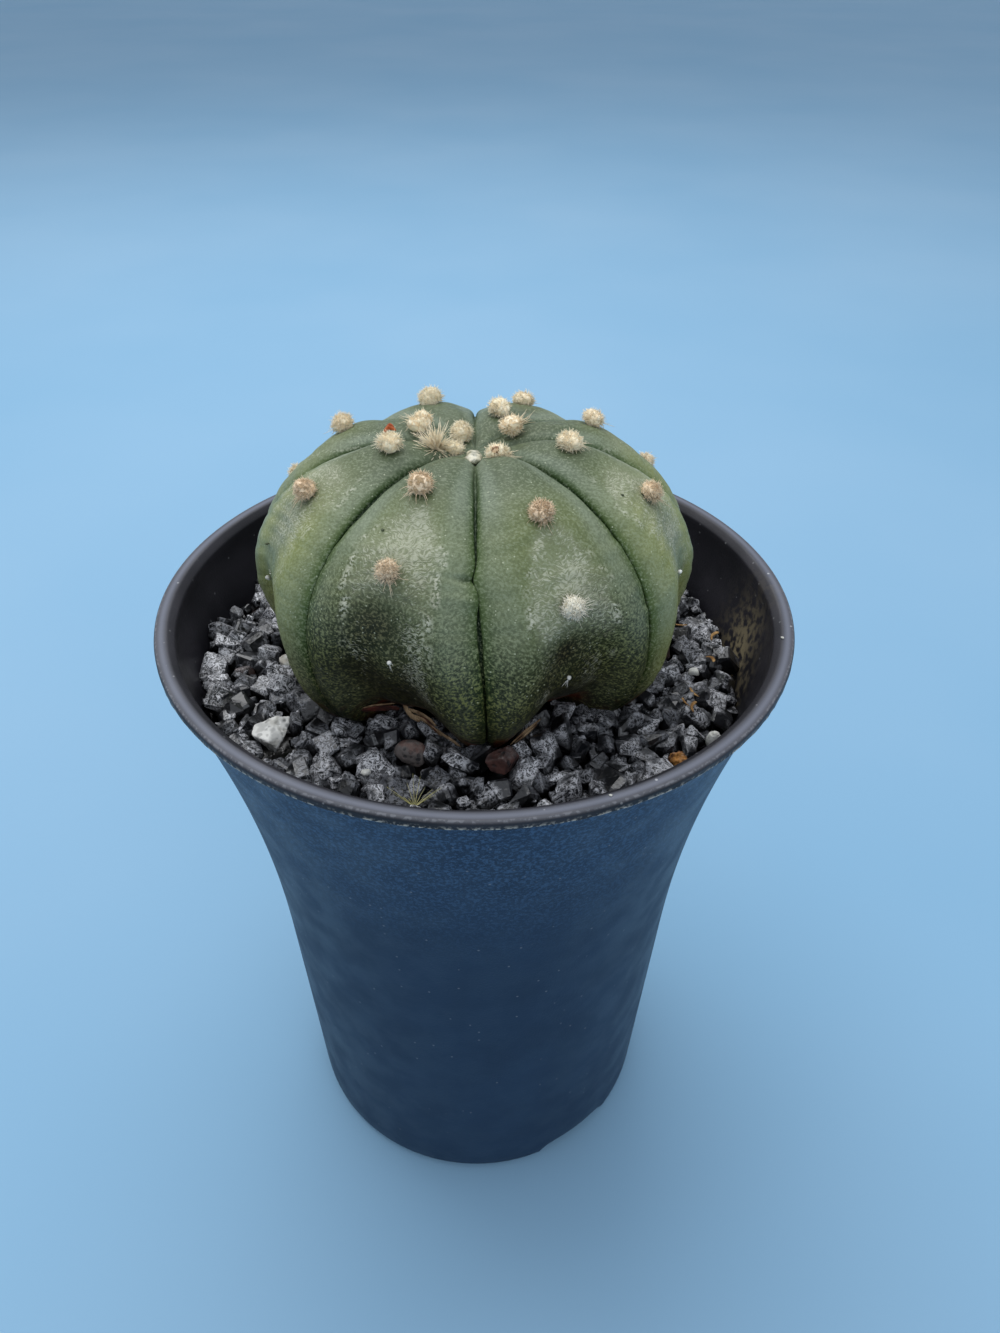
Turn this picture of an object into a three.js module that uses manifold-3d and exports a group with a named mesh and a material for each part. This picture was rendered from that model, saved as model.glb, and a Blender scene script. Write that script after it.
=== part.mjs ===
// A sea urchin cactus, eight-ribbed and spineless, in a round plastic pot topped with black lava grit.
// Millimetres, +Z up, the origin at the middle of the pot's foot, the side that shows best towards -Y.
import * as THREE from "three";
import { mergeVertices } from "three/addons/utils/BufferGeometryUtils.js";
import { ParametricGeometry } from "three/addons/geometries/ParametricGeometry.js";
import Module from "manifold-3d";

const wasm = await Module();
wasm.setup();

// Pot: heights above the foot, radii from the axis
const POT_HEIGHT = 118.8;
const RIM_RADIUS = 50;
const MOUTH_RADIUS = 46.9;
const FOOT_RADIUS = 35;
const WALL = 1.1;
const WALL_SLOPE = 0.046;
const FLARE_START = 50;
const FLARE_SPAN = 69;
const FLARE = 9;
const FLARE_POWER = 2.2;
const RIM_BAND = 1.7;
const RIM_BEVEL_DROP = 1;
const RIM_FLAT = 2;
const RIM_EDGE = 0.35;
const FOOT_CORNER = 1.5;
const FOOT_RING_WIDTH = 2.7;
const BASE_UNDERSIDE = 3.2;
const BASE_THICKNESS = 1.4;
const POT_SIDES = 56;

// Drainage: round holes through the base, and two arched notches in the foot ring
const CENTRE_HOLE_RADIUS = 4.5;
const HOLE_RADIUS = 3;
const HOLE_CIRCLE = 22;
const HOLE_COUNT = 6;
const NOTCH_WIDTH = 16;
const NOTCH_HEIGHT = 2.6;
const NOTCH_AZIMUTHS = [35, 215];

// Potting mix and top dressing
const CLEARANCE = 0.35;
const SOIL_TOP = 100;
const GRIT_LEVEL = 107.9;
const GRIT_DROP = 3;
const GRIT_MOUND = 1.5;
const MOUND_SPREAD = 9;
const HEAP_HEIGHT = 0.7;
const HEAP_FROM = 38;
const HEAP_TO = 29;
const BED_DEPTH = 1.4;
const GRAIN_COUNT = 172;
const GRAIN_RADIUS = 2.45;
const GRAIN_INNER = 25.5;
const GRAIN_OUTER = 44.6;
const GRAIN_JITTER = 0.75;
const GOLDEN_ANGLE = Math.PI * (3 - Math.sqrt(5));

// Stem: three meridians, each as [radius, height above the seat] from the growing point to the base
const SEAT_HEIGHT = 108;
const STEM_OFFSET = new THREE.Vector2(-0.1, 0.2);
const LEAN_BACK = THREE.MathUtils.degToRad(2.2);
const RIBS = 8;
const CREST_LINE = [
  [0, 34.9], [4.5, 35.7], [9, 37.2], [13.5, 37.5], [19.6, 35.9], [25.4, 32.4], [29.4, 28], [31.4, 22.6],
  [31.1, 17], [29.7, 11.8], [27.8, 7.6], [25, 4.6], [21.2, 2.8], [14, 0], [0, -9],
];
const FLANK_LINE = [
  [0, 34.9], [4.5, 35.8], [9, 37], [13.8, 37.1], [20.2, 35.2], [26.6, 31.3], [31.3, 25.8], [33.8, 20.2],
  [34.3, 14.2], [33.3, 8.5], [31.2, 3.6], [28, -0.4], [21, -3.3], [12, -6], [0, -9],
];
const GROOVE_LINE = [
  [0, 34.9], [4, 34.9], [8, 35.6], [13, 35.7], [19.1, 33.9], [25.2, 30], [29.7, 25], [32.1, 19.7],
  [32.6, 14], [31.6, 8.1], [29.5, 3.2], [26.4, -0.3], [19.5, -3.1], [11, -5.8], [0, -9],
];
const GROOVE_AZIMUTHS = [0, 47.6, 92.5, 135, 180, 225, 267.5, 314.4];
const GROOVE_TWISTS = [2.7, 0.6, 0, 0, 0, 0, 0.5, 1.6];
const TWIST_FROM = 0.3;
const TWIST_TO = 0.7;
const FLANK_AT = 0.68;
const ARCH_TOP = 30;
const ARCH_FROM = 0.25;
const ARCH_TO = 0.95;
const ARCH_SHIFT = 0.22;
const GROOVE_FROM = 0.3;
const CROWN_BEND = 1.5;
const SIDE_BEND = 4.5;
const BACK_DROP = 1.2;
const TUCK_TOP = 10;
const FRONT_TUCK = 1.8;
const COLUMNS_PER_RIB = 8;
const STEM_ROWS = 24;
const ROOT_LINE = [[0, -36], [1.2, -34], [3.4, -22], [5.2, -10], [6.2, -4], [0, -3]];
const ROOT_SIDES = 12;

// Woolly areoles: for each rib, the first one's distance from the growing point along the crest,
// the spacing, and how far they sit to the side of the crest
const AREOLES = [
  [22.8, 13.3, -0.5],
  [14.4, 13.3, 0.2],
  [6.8, 13.4, 0.4],
  [10.2, 10.8, 0],
  [4.6, 14.2, 0],
  [9.2, 13.2, 0.3],
  [13.4, 13.2, 0.6],
  [18.8, 12.2, 0.2],
];
const WOOLLY_REACH = 37;
const LAST_AREOLE = 48;
const TUFT_RADIUS = 2;
const BARE_TUFT_RADIUS = 0.7;
const TUFT_HEIGHT = 1.7;
const CROWN_TUFTS = [
  [-6, 0.6, 1.7],
  [-3.2, -1.6, 1.5],
  [-2.1, 2.8, 1.7],
  [-0.2, -4.4, 1.2],
  [2.3, -3.4, 1.6],
];

// Loose stones on the grit: centre, and half sizes along x, y and z
const STONES = {
  pale_stone: { at: [-30.1, -23.2], half: [2.9, 3, 2.7], sunk: 0.1, seed: 11 },
  white_pellet: { at: [35.8, -22], half: [1.2, 1.1, 1.6], sunk: 0.1, seed: 12 },
  white_chip: { at: [-30.2, -6], half: [1.6, 1.7, 1.6], sunk: 0.2, seed: 13 },
  red_stone: { at: [3.4, -31], half: [2.6, 1.8, 1.8], sunk: 0.1, seed: 14 },
  brown_pebble: { at: [-9.6, -27.6], half: [2.4, 2, 1.9], sunk: 0.2, seed: 15 },
  bark_crumb: { at: [29.3, -28.3], half: [1.6, 1.5, 1.8], sunk: 0.1, seed: 16 },
};

const MATERIALS = {
  pot: { color: "#20252e", roughness: 0.5, metalness: 0 },
  soil: { color: "#2a211a", roughness: 1, metalness: 0 },
  grit: { color: "#2e2f31", roughness: 0.9, metalness: 0 },
  stem: { color: "#55683f", roughness: 0.65, metalness: 0 },
  pale_stone: { color: "#b4b8b0", roughness: 0.9, metalness: 0 },
  white_pellet: { color: "#d9dcd6", roughness: 0.9, metalness: 0 },
  white_chip: { color: "#cfd0ca", roughness: 0.9, metalness: 0 },
  red_stone: { color: "#5a3f3c", roughness: 0.9, metalness: 0 },
  brown_pebble: { color: "#5b4d47", roughness: 0.9, metalness: 0 },
  bark_crumb: { color: "#9a6636", roughness: 0.95, metalness: 0 },
};

// Repeatable random numbers in 0..1 from a seed
function randomFrom(seed) {
  let state = seed;
  return () => {
    state = (state + 0x6d2b79f5) | 0;
    let t = Math.imul(state ^ (state >>> 15), 1 | state);
    t = (t + Math.imul(t ^ (t >>> 7), 61 | t)) ^ t;
    return ((t ^ (t >>> 14)) >>> 0) / 4294967296;
  };
}

// A closed geometry as a solid: only positions, shared vertices merged, collapsed triangles dropped
function solidOf(geometry) {
  const bare = new THREE.BufferGeometry();
  bare.setAttribute("position", geometry.getAttribute("position"));
  bare.setIndex(geometry.getIndex());
  const merged = mergeVertices(bare, 1e-4);
  const index = merged.getIndex().array;
  const kept = [];
  for (let i = 0; i < index.length; i += 3) {
    const [a, b, c] = index.slice(i, i + 3);
    if (a !== b && b !== c && c !== a) kept.push(a, b, c);
  }
  const mesh = new wasm.Mesh({
    numProp: 3,
    vertProperties: new Float32Array(merged.getAttribute("position").array),
    triVerts: new Uint32Array(kept),
  });
  mesh.merge();
  return new wasm.Manifold(mesh);
}

function geometryOf(solid) {
  const mesh = solid.getMesh();
  const geometry = new THREE.BufferGeometry();
  geometry.setAttribute("position", new THREE.BufferAttribute(mesh.vertProperties, 3));
  geometry.setIndex(new THREE.BufferAttribute(mesh.triVerts, 1));
  geometry.computeVertexNormals();
  return geometry;
}

function meshOf(name, solid, look = name) {
  const mesh = new THREE.Mesh(geometryOf(solid), new THREE.MeshStandardMaterial(MATERIALS[look]));
  mesh.name = name;
  return mesh;
}

// A profile of [radius, height] pairs turned about the Z axis
function turned(profile, sides) {
  const points = profile.map(([radius, height]) => new THREE.Vector2(radius, height));
  return new THREE.LatheGeometry(points, sides).rotateX(Math.PI / 2);
}

function largestPiece(solid) {
  return solid.decompose().reduce((best, piece) => (piece.volume() > best.volume() ? piece : best));
}

// Azimuth 0 is the front, -Y, and 90 degrees is +X
function around(radius, azimuth, height) {
  return new THREE.Vector3(radius * Math.sin(azimuth), -radius * Math.cos(azimuth), height);
}

// Pot wall: a slight taper that flares towards the rim
function outerRadius(height) {
  const flare = Math.max(0, (height - FLARE_START) / FLARE_SPAN);
  return FOOT_RADIUS + WALL_SLOPE * height + FLARE * flare ** FLARE_POWER;
}

function innerRadius(height) {
  return Math.min(MOUTH_RADIUS, outerRadius(height) - WALL);
}

function heights(from, to, count) {
  return Array.from({ length: count }, (_, i) => THREE.MathUtils.lerp(from, to, i / (count - 1)));
}

function footCorner() {
  return [270, 315, 360].map((degrees) => {
    const angle = THREE.MathUtils.degToRad(degrees);
    const centre = FOOT_RADIUS - FOOT_CORNER;
    return [centre + FOOT_CORNER * Math.cos(angle), FOOT_CORNER + FOOT_CORNER * Math.sin(angle)];
  });
}

// The rim: a band that stands proud of the wall, a flat top, and a bevel down to the mouth
function rimProfile() {
  const under = POT_HEIGHT - RIM_BAND;
  const bevelFoot = POT_HEIGHT - RIM_BEVEL_DROP;
  return [
    [outerRadius(under), under],
    [RIM_RADIUS - RIM_EDGE, under + 0.1],
    [RIM_RADIUS, under + RIM_EDGE],
    [RIM_RADIUS, POT_HEIGHT - RIM_EDGE],
    [RIM_RADIUS - RIM_EDGE, POT_HEIGHT],
    [RIM_RADIUS - RIM_FLAT, POT_HEIGHT],
    [MOUTH_RADIUS, bevelFoot],
  ];
}

function drainageCutters() {
  const middle = BASE_UNDERSIDE + BASE_THICKNESS / 2;
  const depth = BASE_THICKNESS * 3;
  const holes = [new THREE.CylinderGeometry(CENTRE_HOLE_RADIUS, CENTRE_HOLE_RADIUS, depth, 16)];
  holes[0].rotateX(Math.PI / 2).translate(0, 0, middle);
  for (let i = 0; i < HOLE_COUNT; i += 1) {
    const place = around(HOLE_CIRCLE, (i / HOLE_COUNT) * 2 * Math.PI, middle);
    const hole = new THREE.CylinderGeometry(HOLE_RADIUS, HOLE_RADIUS, depth, 12);
    holes.push(hole.rotateX(Math.PI / 2).translate(...place.toArray()));
  }
  return [...holes, ...NOTCH_AZIMUTHS.map(notchCutter)];
}

// An arch, flat below the foot and bowed above, pushed outward through the foot ring
function notchCutter(degrees) {
  const half = NOTCH_WIDTH / 2;
  const arch = new THREE.Shape();
  arch.moveTo(-half, -1);
  arch.lineTo(half, -1);
  arch.lineTo(half, 0);
  arch.bezierCurveTo(half * 0.8, NOTCH_HEIGHT, half * 0.5, NOTCH_HEIGHT, 0, NOTCH_HEIGHT);
  arch.bezierCurveTo(-half * 0.5, NOTCH_HEIGHT, -half * 0.8, NOTCH_HEIGHT, -half, 0);
  const inside = FOOT_RADIUS - 2 * FOOT_RING_WIDTH;
  const geometry = new THREE.ExtrudeGeometry(arch, { depth: 10, bevelEnabled: false, curveSegments: 4 });
  geometry.rotateX(Math.PI / 2).translate(0, -inside, 0);
  return geometry.rotateZ(THREE.MathUtils.degToRad(degrees));
}

function makePot() {
  const baseTop = BASE_UNDERSIDE + BASE_THICKNESS;
  const ringInside = FOOT_RADIUS - FOOT_RING_WIDTH;
  const profile = [
    [0, BASE_UNDERSIDE],
    [ringInside - 0.6, BASE_UNDERSIDE],
    [ringInside, 0],
    ...footCorner(),
    ...heights(20, 50, 2).map((z) => [outerRadius(z), z]),
    ...heights(62, 112, 6).map((z) => [outerRadius(z), z]),
    ...rimProfile(),
    ...heights(113, 98, 3).map((z) => [innerRadius(z), z]),
    ...heights(60, baseTop + 2, 2).map((z) => [innerRadius(z), z]),
    [innerRadius(baseTop) - 2, baseTop],
    [0, baseTop],
  ];
  const shell = solidOf(turned(profile, POT_SIDES));
  return drainageCutters().reduce((pot, cutter) => pot.subtract(solidOf(cutter)), shell);
}

// Where the stem stands: its own frame, leaning a little back
const plantFrame = new THREE.Matrix4()
  .makeRotationX(-LEAN_BACK)
  .setPosition(STEM_OFFSET.x, STEM_OFFSET.y, SEAT_HEIGHT);

// The azimuth of a groove at share t of the way down, in degrees. Some grooves drift aside on their way.
function grooveAzimuth(number, t) {
  const groove = number % RIBS;
  const turns = 360 * Math.floor(number / RIBS);
  const drift = GROOVE_TWISTS[groove] * THREE.MathUtils.smoothstep(t, TWIST_FROM, TWIST_TO);
  return GROOVE_AZIMUTHS[groove] + drift + turns;
}

// A meridian moved out along its own normal by a clearance, and its two ends straight up and down
function meridian(line, clearance = 0) {
  const curve = new THREE.SplineCurve(line.map(([radius, height]) => new THREE.Vector2(radius, height)));
  return (t) => {
    const point = curve.getPoint(t);
    if (t === 0 || t === 1) return new THREE.Vector2(0, point.y + (t === 0 ? clearance : -clearance));
    const tangent = curve.getTangent(t);
    return new THREE.Vector2(point.x - tangent.y * clearance, point.y + tangent.x * clearance);
  };
}

// How far the crown lies lower at the back: more the further it is from the growing point
function backDrop(radius, azimuth, height) {
  const back = Math.max(0, -Math.cos(azimuth)) ** 2;
  const out = THREE.MathUtils.smoothstep(radius, 5, 18) * THREE.MathUtils.smoothstep(height, 10, 30);
  return BACK_DROP * back * out;
}

// The stem's skin. Across a rib, the crest runs smoothly into the flank, and the flank bends into the groove,
// gently on the crown and more steeply below. Low down the flanks draw towards the grooves, so that each
// crest sinks between two ridges and ends in an arch, and the front is tucked in.
function stemGeometry(clearance = 0) {
  const crest = meridian(CREST_LINE, clearance);
  const flank = meridian(FLANK_LINE, clearance);
  const groove = meridian(GROOVE_LINE, clearance);
  const surface = (u, v, target) => {
    const turn = (u * RIBS) % RIBS;
    const rib = Math.floor(turn);
    const across = Math.sin((turn - rib - 0.5) * Math.PI);
    const t = 1 - v;
    const [from, to] = [grooveAzimuth(rib, t), grooveAzimuth(rib + 1, t)];
    const azimuth = THREE.MathUtils.degToRad(THREE.MathUtils.lerp(from, to, (across + 1) / 2));
    const side = flank(t);
    const low = 1 - THREE.MathUtils.smoothstep(side.y, 0, ARCH_TOP);
    const aside = Math.abs(across - ARCH_SHIFT * low * Math.sin(2 * azimuth));
    const flankFrom = THREE.MathUtils.lerp(0, ARCH_FROM, low);
    const flankAt = THREE.MathUtils.lerp(FLANK_AT, ARCH_TO, low);
    const toFlank = THREE.MathUtils.smoothstep(aside, flankFrom, flankAt);
    const past = Math.max(0, (Math.abs(across) - GROOVE_FROM) / (1 - GROOVE_FROM));
    const bend = THREE.MathUtils.lerp(CROWN_BEND, SIDE_BEND, THREE.MathUtils.smoothstep(t, 0.2, 0.5));
    const place = crest(t).lerp(side, toFlank).lerp(groove(t), past ** bend);
    const tucked = 1 - THREE.MathUtils.smoothstep(side.y, 0, TUCK_TOP);
    const tuck = FRONT_TUCK * tucked * Math.max(0, Math.cos(azimuth)) ** 4;
    const radius = Math.max(0, place.x - tuck * Math.min(1, place.x / 20));
    target.copy(around(radius, azimuth, place.y - backDrop(radius, azimuth, place.y)));
  };
  return new ParametricGeometry(surface, RIBS * COLUMNS_PER_RIB, STEM_ROWS).applyMatrix4(plantFrame);
}

function rootGeometry(clearance = 0) {
  const grown = ROOT_LINE.map(([radius, height], i) => {
    const end = i === 0 || i === ROOT_LINE.length - 1;
    return [end ? 0 : radius + clearance, height + (i === 0 ? -clearance : 0)];
  });
  return turned(grown, ROOT_SIDES).applyMatrix4(plantFrame);
}

// An angular lump: an icosahedron with each corner drawn in or out at random
function lump(half, random, roughness) {
  const form = new THREE.IcosahedronGeometry(1, 0).deleteAttribute("normal").deleteAttribute("uv");
  const geometry = mergeVertices(form);
  const corners = geometry.getAttribute("position");
  const corner = new THREE.Vector3();
  for (let i = 0; i < corners.count; i += 1) {
    corner.fromBufferAttribute(corners, i).multiplyScalar(1 + roughness * (2 * random() - 1));
    corners.setXYZ(i, corner.x, corner.y, corner.z);
  }
  return geometry.scale(...half);
}

// A crushed grain: a leaning stump of four to six flat sides, which lies on its broad end
function grainGeometry(half, random) {
  const sides = 4 + Math.floor(2.5 * random());
  const form = new THREE.CylinderGeometry(0.6 + 0.25 * random(), 1.1, 1.7, sides, 1).rotateX(Math.PI / 2);
  const shear = () => 0.5 * (random() - 0.5);
  form.applyMatrix4(new THREE.Matrix4().makeShear(0, 0, 0, 0, shear(), shear()));
  return form.scale(...half);
}

function tuftGeometry(place, normal, radius, random) {
  const height = radius * (TUFT_HEIGHT / TUFT_RADIUS);
  const turn = new THREE.Quaternion().setFromUnitVectors(new THREE.Vector3(0, 0, 1), normal);
  const geometry = lump([radius, radius, height], random, 0.12);
  return geometry.applyQuaternion(turn).translate(...place.toArray()).applyMatrix4(plantFrame);
}

// Areoles follow each crest at even steps of its length. The lowest ones have lost their wool.
function areoleTufts() {
  const random = randomFrom(5);
  const line = CREST_LINE.map(([radius, height]) => new THREE.Vector2(radius, height));
  const crest = new THREE.SplineCurve(line);
  const length = crest.getLength();
  const tufts = [];
  AREOLES.forEach(([first, spacing, side], rib) => {
    for (let distance = first; distance < LAST_AREOLE; distance += spacing) {
      const point = crest.getPointAt(distance / length);
      const tangent = crest.getTangentAt(distance / length);
      const t = crest.getUtoTmapping(distance / length);
      const middle = THREE.MathUtils.degToRad((grooveAzimuth(rib, t) + grooveAzimuth(rib + 1, t)) / 2);
      const azimuth = middle + side / point.x;
      const normal = around(-tangent.y, azimuth, tangent.x).normalize();
      const woolly = distance < WOOLLY_REACH;
      const radius = (woolly ? TUFT_RADIUS : BARE_TUFT_RADIUS) * (0.9 + 0.2 * random());
      const height = point.y - backDrop(point.x, azimuth, point.y);
      tufts.push(tuftGeometry(around(point.x, azimuth, height), normal, radius, random));
    }
  });
  const up = new THREE.Vector3(0, 0, 1);
  CROWN_TUFTS.forEach(([x, y, radius]) => {
    const height = crest.getPoint(Math.hypot(x, y) / 60).y;
    tufts.push(tuftGeometry(new THREE.Vector3(x, y, height), up, radius, random));
  });
  return tufts;
}

function makeCactus() {
  const grown = [stemGeometry(), rootGeometry(), ...areoleTufts()];
  return largestPiece(wasm.Manifold.union(grown.map(solidOf)));
}

function makeSoil() {
  const bottom = BASE_UNDERSIDE + BASE_THICKNESS + CLEARANCE;
  const profile = [
    [0, bottom],
    [innerRadius(bottom) - 3, bottom],
    ...heights(bottom + 3, SOIL_TOP, 7).map((z) => [innerRadius(z) - CLEARANCE, z]),
    [0, SOIL_TOP],
  ];
  const block = solidOf(turned(profile, POT_SIDES / 2));
  return block.subtract(solidOf(rootGeometry(CLEARANCE)));
}

// The grit's surface: level, lower towards the right wall, and heaped against the stem's foot and most of
// all against its front
function gritLevel(x, y) {
  const drop = GRIT_DROP * THREE.MathUtils.smoothstep(x, 18, 44);
  const heap = HEAP_HEIGHT * (1 - THREE.MathUtils.smoothstep(Math.hypot(x, y), HEAP_TO, HEAP_FROM));
  const away = Math.hypot(x - 2, y + 30) / MOUND_SPREAD;
  return GRIT_LEVEL - drop + heap + GRIT_MOUND * Math.exp(-away * away);
}

function gritBed() {
  const bottom = SOIL_TOP + CLEARANCE;
  const edge = (z) => innerRadius(z) - CLEARANCE;
  const profile = [
    [0, bottom],
    [edge(bottom), bottom],
    [edge(GRIT_LEVEL), GRIT_LEVEL],
    [38, GRIT_LEVEL],
    [31, GRIT_LEVEL],
    [22, GRIT_LEVEL],
    [0, GRIT_LEVEL],
  ];
  const geometry = turned(profile, POT_SIDES / 2);
  const place = geometry.getAttribute("position");
  for (let i = 0; i < place.count; i += 1) {
    if (place.getZ(i) > bottom + 1) place.setZ(i, gritLevel(place.getX(i), place.getY(i)) - BED_DEPTH);
  }
  return geometry;
}

// Grains at the golden angle, evenly over the ring between the stem's base and the wall
function gritGrains() {
  const random = randomFrom(3);
  const spread = () => GRAIN_JITTER * (2 * random() - 1);
  const grains = [];
  for (let i = 0; i < GRAIN_COUNT; i += 1) {
    const share = (i + 0.5) / GRAIN_COUNT;
    const radius = Math.sqrt(THREE.MathUtils.lerp(GRAIN_INNER ** 2, GRAIN_OUTER ** 2, share));
    const place = around(radius, i * GOLDEN_ANGLE, 0).add(new THREE.Vector3(spread(), spread(), 0));
    const size = GRAIN_RADIUS * (0.75 + 0.5 * random());
    const half = [size, size * (0.7 + 0.3 * random()), size * (0.6 + 0.3 * random())];
    const turn = new THREE.Euler(0.6 * (random() - 0.5), 0.6 * (random() - 0.5), 2 * Math.PI * random());
    const grain = grainGeometry(half, random).applyQuaternion(new THREE.Quaternion().setFromEuler(turn));
    const height = gritLevel(place.x, place.y) - 0.55 * half[2] + 0.5 * random();
    grains.push(grain.translate(place.x, place.y, height));
  }
  return grains;
}

// The room inside the pot, a clearance short of the wall
function cavityGeometry() {
  const from = SOIL_TOP + CLEARANCE;
  const walls = heights(from, 113, 4).map((z) => [innerRadius(z) - CLEARANCE, z]);
  return turned([[0, from], ...walls, [0, 113]], POT_SIDES);
}

function stoneGeometry({ at: [x, y], half, sunk, seed }, clearance = 0) {
  const grown = half.map((value) => value + clearance * 1.3);
  const height = gritLevel(x, y) + half[2] * (0.55 - sunk);
  return lump(grown, randomFrom(seed), 0.14).translate(x, y, height);
}

function makeGrit() {
  const heap = wasm.Manifold.union([gritBed(), ...gritGrains()].map(solidOf));
  const inPot = heap.intersect(solidOf(cavityGeometry()));
  const seats = [stemGeometry(2 * CLEARANCE), rootGeometry(2 * CLEARANCE)];
  const sockets = Object.values(STONES).map((stone) => stoneGeometry(stone, CLEARANCE));
  const cut = [...seats, ...sockets].reduce((grit, cutter) => grit.subtract(solidOf(cutter)), inPot);
  return largestPiece(cut.simplify(0.04));
}

const potted_cactus = new THREE.Group();
potted_cactus.add(meshOf("pot", makePot()));
potted_cactus.add(meshOf("soil", makeSoil()));
potted_cactus.add(meshOf("grit", makeGrit()));
potted_cactus.add(meshOf("cactus", makeCactus(), "stem"));

const looseStones = new THREE.Group();
Object.entries(STONES).forEach(([name, stone]) => {
  looseStones.add(meshOf(name, solidOf(stoneGeometry(stone))));
});
potted_cactus.add(looseStones);

export default potted_cactus;
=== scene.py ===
"""A potted sea urchin cactus: the fine pot, stem, wool, grit and stones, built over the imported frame.

Lengths are in millimetres until a mesh is made, which MM turns into metres. Azimuth 0 is the front, -Y,
and 90 degrees is +X. +Z is up, and the origin is the middle of the pot's foot.
"""

import bpy
import numpy as np
from bpy.props import FloatProperty, FloatVectorProperty, IntProperty, PointerProperty
from mathutils import Matrix, Vector


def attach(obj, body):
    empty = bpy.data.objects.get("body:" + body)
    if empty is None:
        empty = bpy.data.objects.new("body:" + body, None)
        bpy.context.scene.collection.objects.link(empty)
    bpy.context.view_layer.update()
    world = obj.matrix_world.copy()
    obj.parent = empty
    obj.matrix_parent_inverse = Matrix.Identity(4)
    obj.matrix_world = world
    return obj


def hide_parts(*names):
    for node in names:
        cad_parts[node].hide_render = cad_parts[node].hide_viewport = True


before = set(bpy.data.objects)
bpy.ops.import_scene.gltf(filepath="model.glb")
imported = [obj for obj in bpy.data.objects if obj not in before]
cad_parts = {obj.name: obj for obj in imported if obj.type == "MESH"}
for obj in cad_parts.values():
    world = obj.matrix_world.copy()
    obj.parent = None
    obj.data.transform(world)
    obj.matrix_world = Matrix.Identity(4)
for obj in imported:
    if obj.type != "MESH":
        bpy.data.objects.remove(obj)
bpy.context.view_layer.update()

bl_info = {
    "name": "Potted Sea Urchin Cactus",
    "version": (1, 0, 0),
    "blender": (4, 5, 0),
    "location": "3D View > Sidebar > Cactus",
    "description": "An eight-ribbed cactus in a tall flared pot, topped with crushed lava grit",
    "category": "Add Mesh",
}

MM = 0.001

# Pot, as in the frame
POT_HEIGHT = 118.8
RIM_RADIUS = 50
MOUTH_RADIUS = 46.9
FOOT_RADIUS = 35
WALL = 1.1
WALL_SLOPE = 0.046
FLARE_START = 50
FLARE_SPAN = 69
FLARE = 9
FLARE_POWER = 2.2
RIM_BAND = 1.7
RIM_BEVEL_DROP = 1
RIM_FLAT = 2
RIM_EDGE = 0.35
FOOT_CORNER = 1.5
FOOT_RING_WIDTH = 2.7
BASE_UNDERSIDE = 3.2
BASE_THICKNESS = 1.4
CENTRE_HOLE_RADIUS = 4.5
HOLE_RADIUS = 3
HOLE_CIRCLE = 22
HOLE_COUNT = 6
NOTCH_WIDTH = 16
NOTCH_HEIGHT = 2.6
NOTCH_AZIMUTHS = (35, 215)
NOTCH_REACH = 8

# Top dressing, as in the frame. The grains lie lower in the hollows under the arches beside the front groove
GRIT_LEVEL = 107.9
GRIT_DROP = 3
GRIT_MOUND = 1.5
MOUND_SPREAD = 9
HEAP_HEIGHT = 0.7
HEAP_FROM = 38
HEAP_TO = 29
ARCH_MIDDLE = 23.5
HOLLOW_DEPTH = 1.8
GRAIN_INNER = 19
GRAIN_OUTER = 45.6
BED_BOTTOM = 101
PIT_BEND = 0.6
GOLDEN_ANGLE = np.pi * (3 - np.sqrt(5))

# Stem, as in the frame: three meridians, each as [radius, height above the seat] from the growing point down
SEAT_HEIGHT = 108
STEM_OFFSET = (-0.1, 0.2)
LEAN_BACK = 2.2
RIBS = 8
CREST_LINE = [
    [0, 34.9], [4.5, 35.7], [9, 37.2], [13.5, 37.5], [19.6, 35.9], [25.4, 32.4], [29.4, 28], [31.4, 22.6],
    [31.1, 17], [29.7, 11.8], [27.8, 7.6], [25, 4.6], [21.2, 2.8], [14, 0], [0, -9],
]
FLANK_LINE = [
    [0, 34.9], [4.5, 35.8], [9, 37], [13.8, 37.1], [20.2, 35.2], [26.6, 31.3], [31.3, 25.8], [33.8, 20.2],
    [34.3, 14.2], [33.3, 8.5], [31.2, 3.6], [28, -0.4], [21, -3.3], [12, -6], [0, -9],
]
GROOVE_LINE = [
    [0, 34.9], [4, 34.9], [8, 35.6], [13, 35.7], [19.1, 33.9], [25.2, 30], [29.7, 25], [32.1, 19.7],
    [32.6, 14], [31.6, 8.1], [29.5, 3.2], [26.4, -0.3], [19.5, -3.1], [11, -5.8], [0, -9],
]
GROOVE_AZIMUTHS = [0, 47.6, 92.5, 135, 180, 225, 267.5, 314.4]
GROOVE_TWISTS = [2.7, 0.6, 0, 0, 0, 0, 0.5, 1.6]
TWIST_FROM = 0.3
TWIST_TO = 0.7
FLANK_AT = 0.68
ARCH_TOP = 30
ARCH_FROM = 0.25
ARCH_TO = 0.95
ARCH_SHIFT = 0.22
GROOVE_FROM = 0.3
CROWN_BEND = 1.5
SIDE_BEND = 4.5
BACK_DROP = 1.2
TUCK_TOP = 10
FRONT_TUCK = 1.8

# Areoles, for each rib: the first one's distance down the crest, the spacing and the side step. On the two
# front ribs they are up to half a millimetre higher than the frame's
AREOLES = [
    [22.8, 12.9, -0.4],
    [14.4, 13.3, 0.2],
    [6.8, 13.4, 0.4],
    [10.2, 10.8, 0],
    [4.6, 14.2, 0],
    [9.2, 13.2, 0.3],
    [13.4, 13.2, 0.6],
    [18.2, 12.8, -0.2],
]

# How much scurf and how much dark skin each rib has
RIB_SCURF = [1, 0.8, 0.4, 0.2, 0.2, 0.4, 0.8, 1]
RIB_SHADE = [1, 0, 0, 0, 0, 0, 0, 1]

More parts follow.
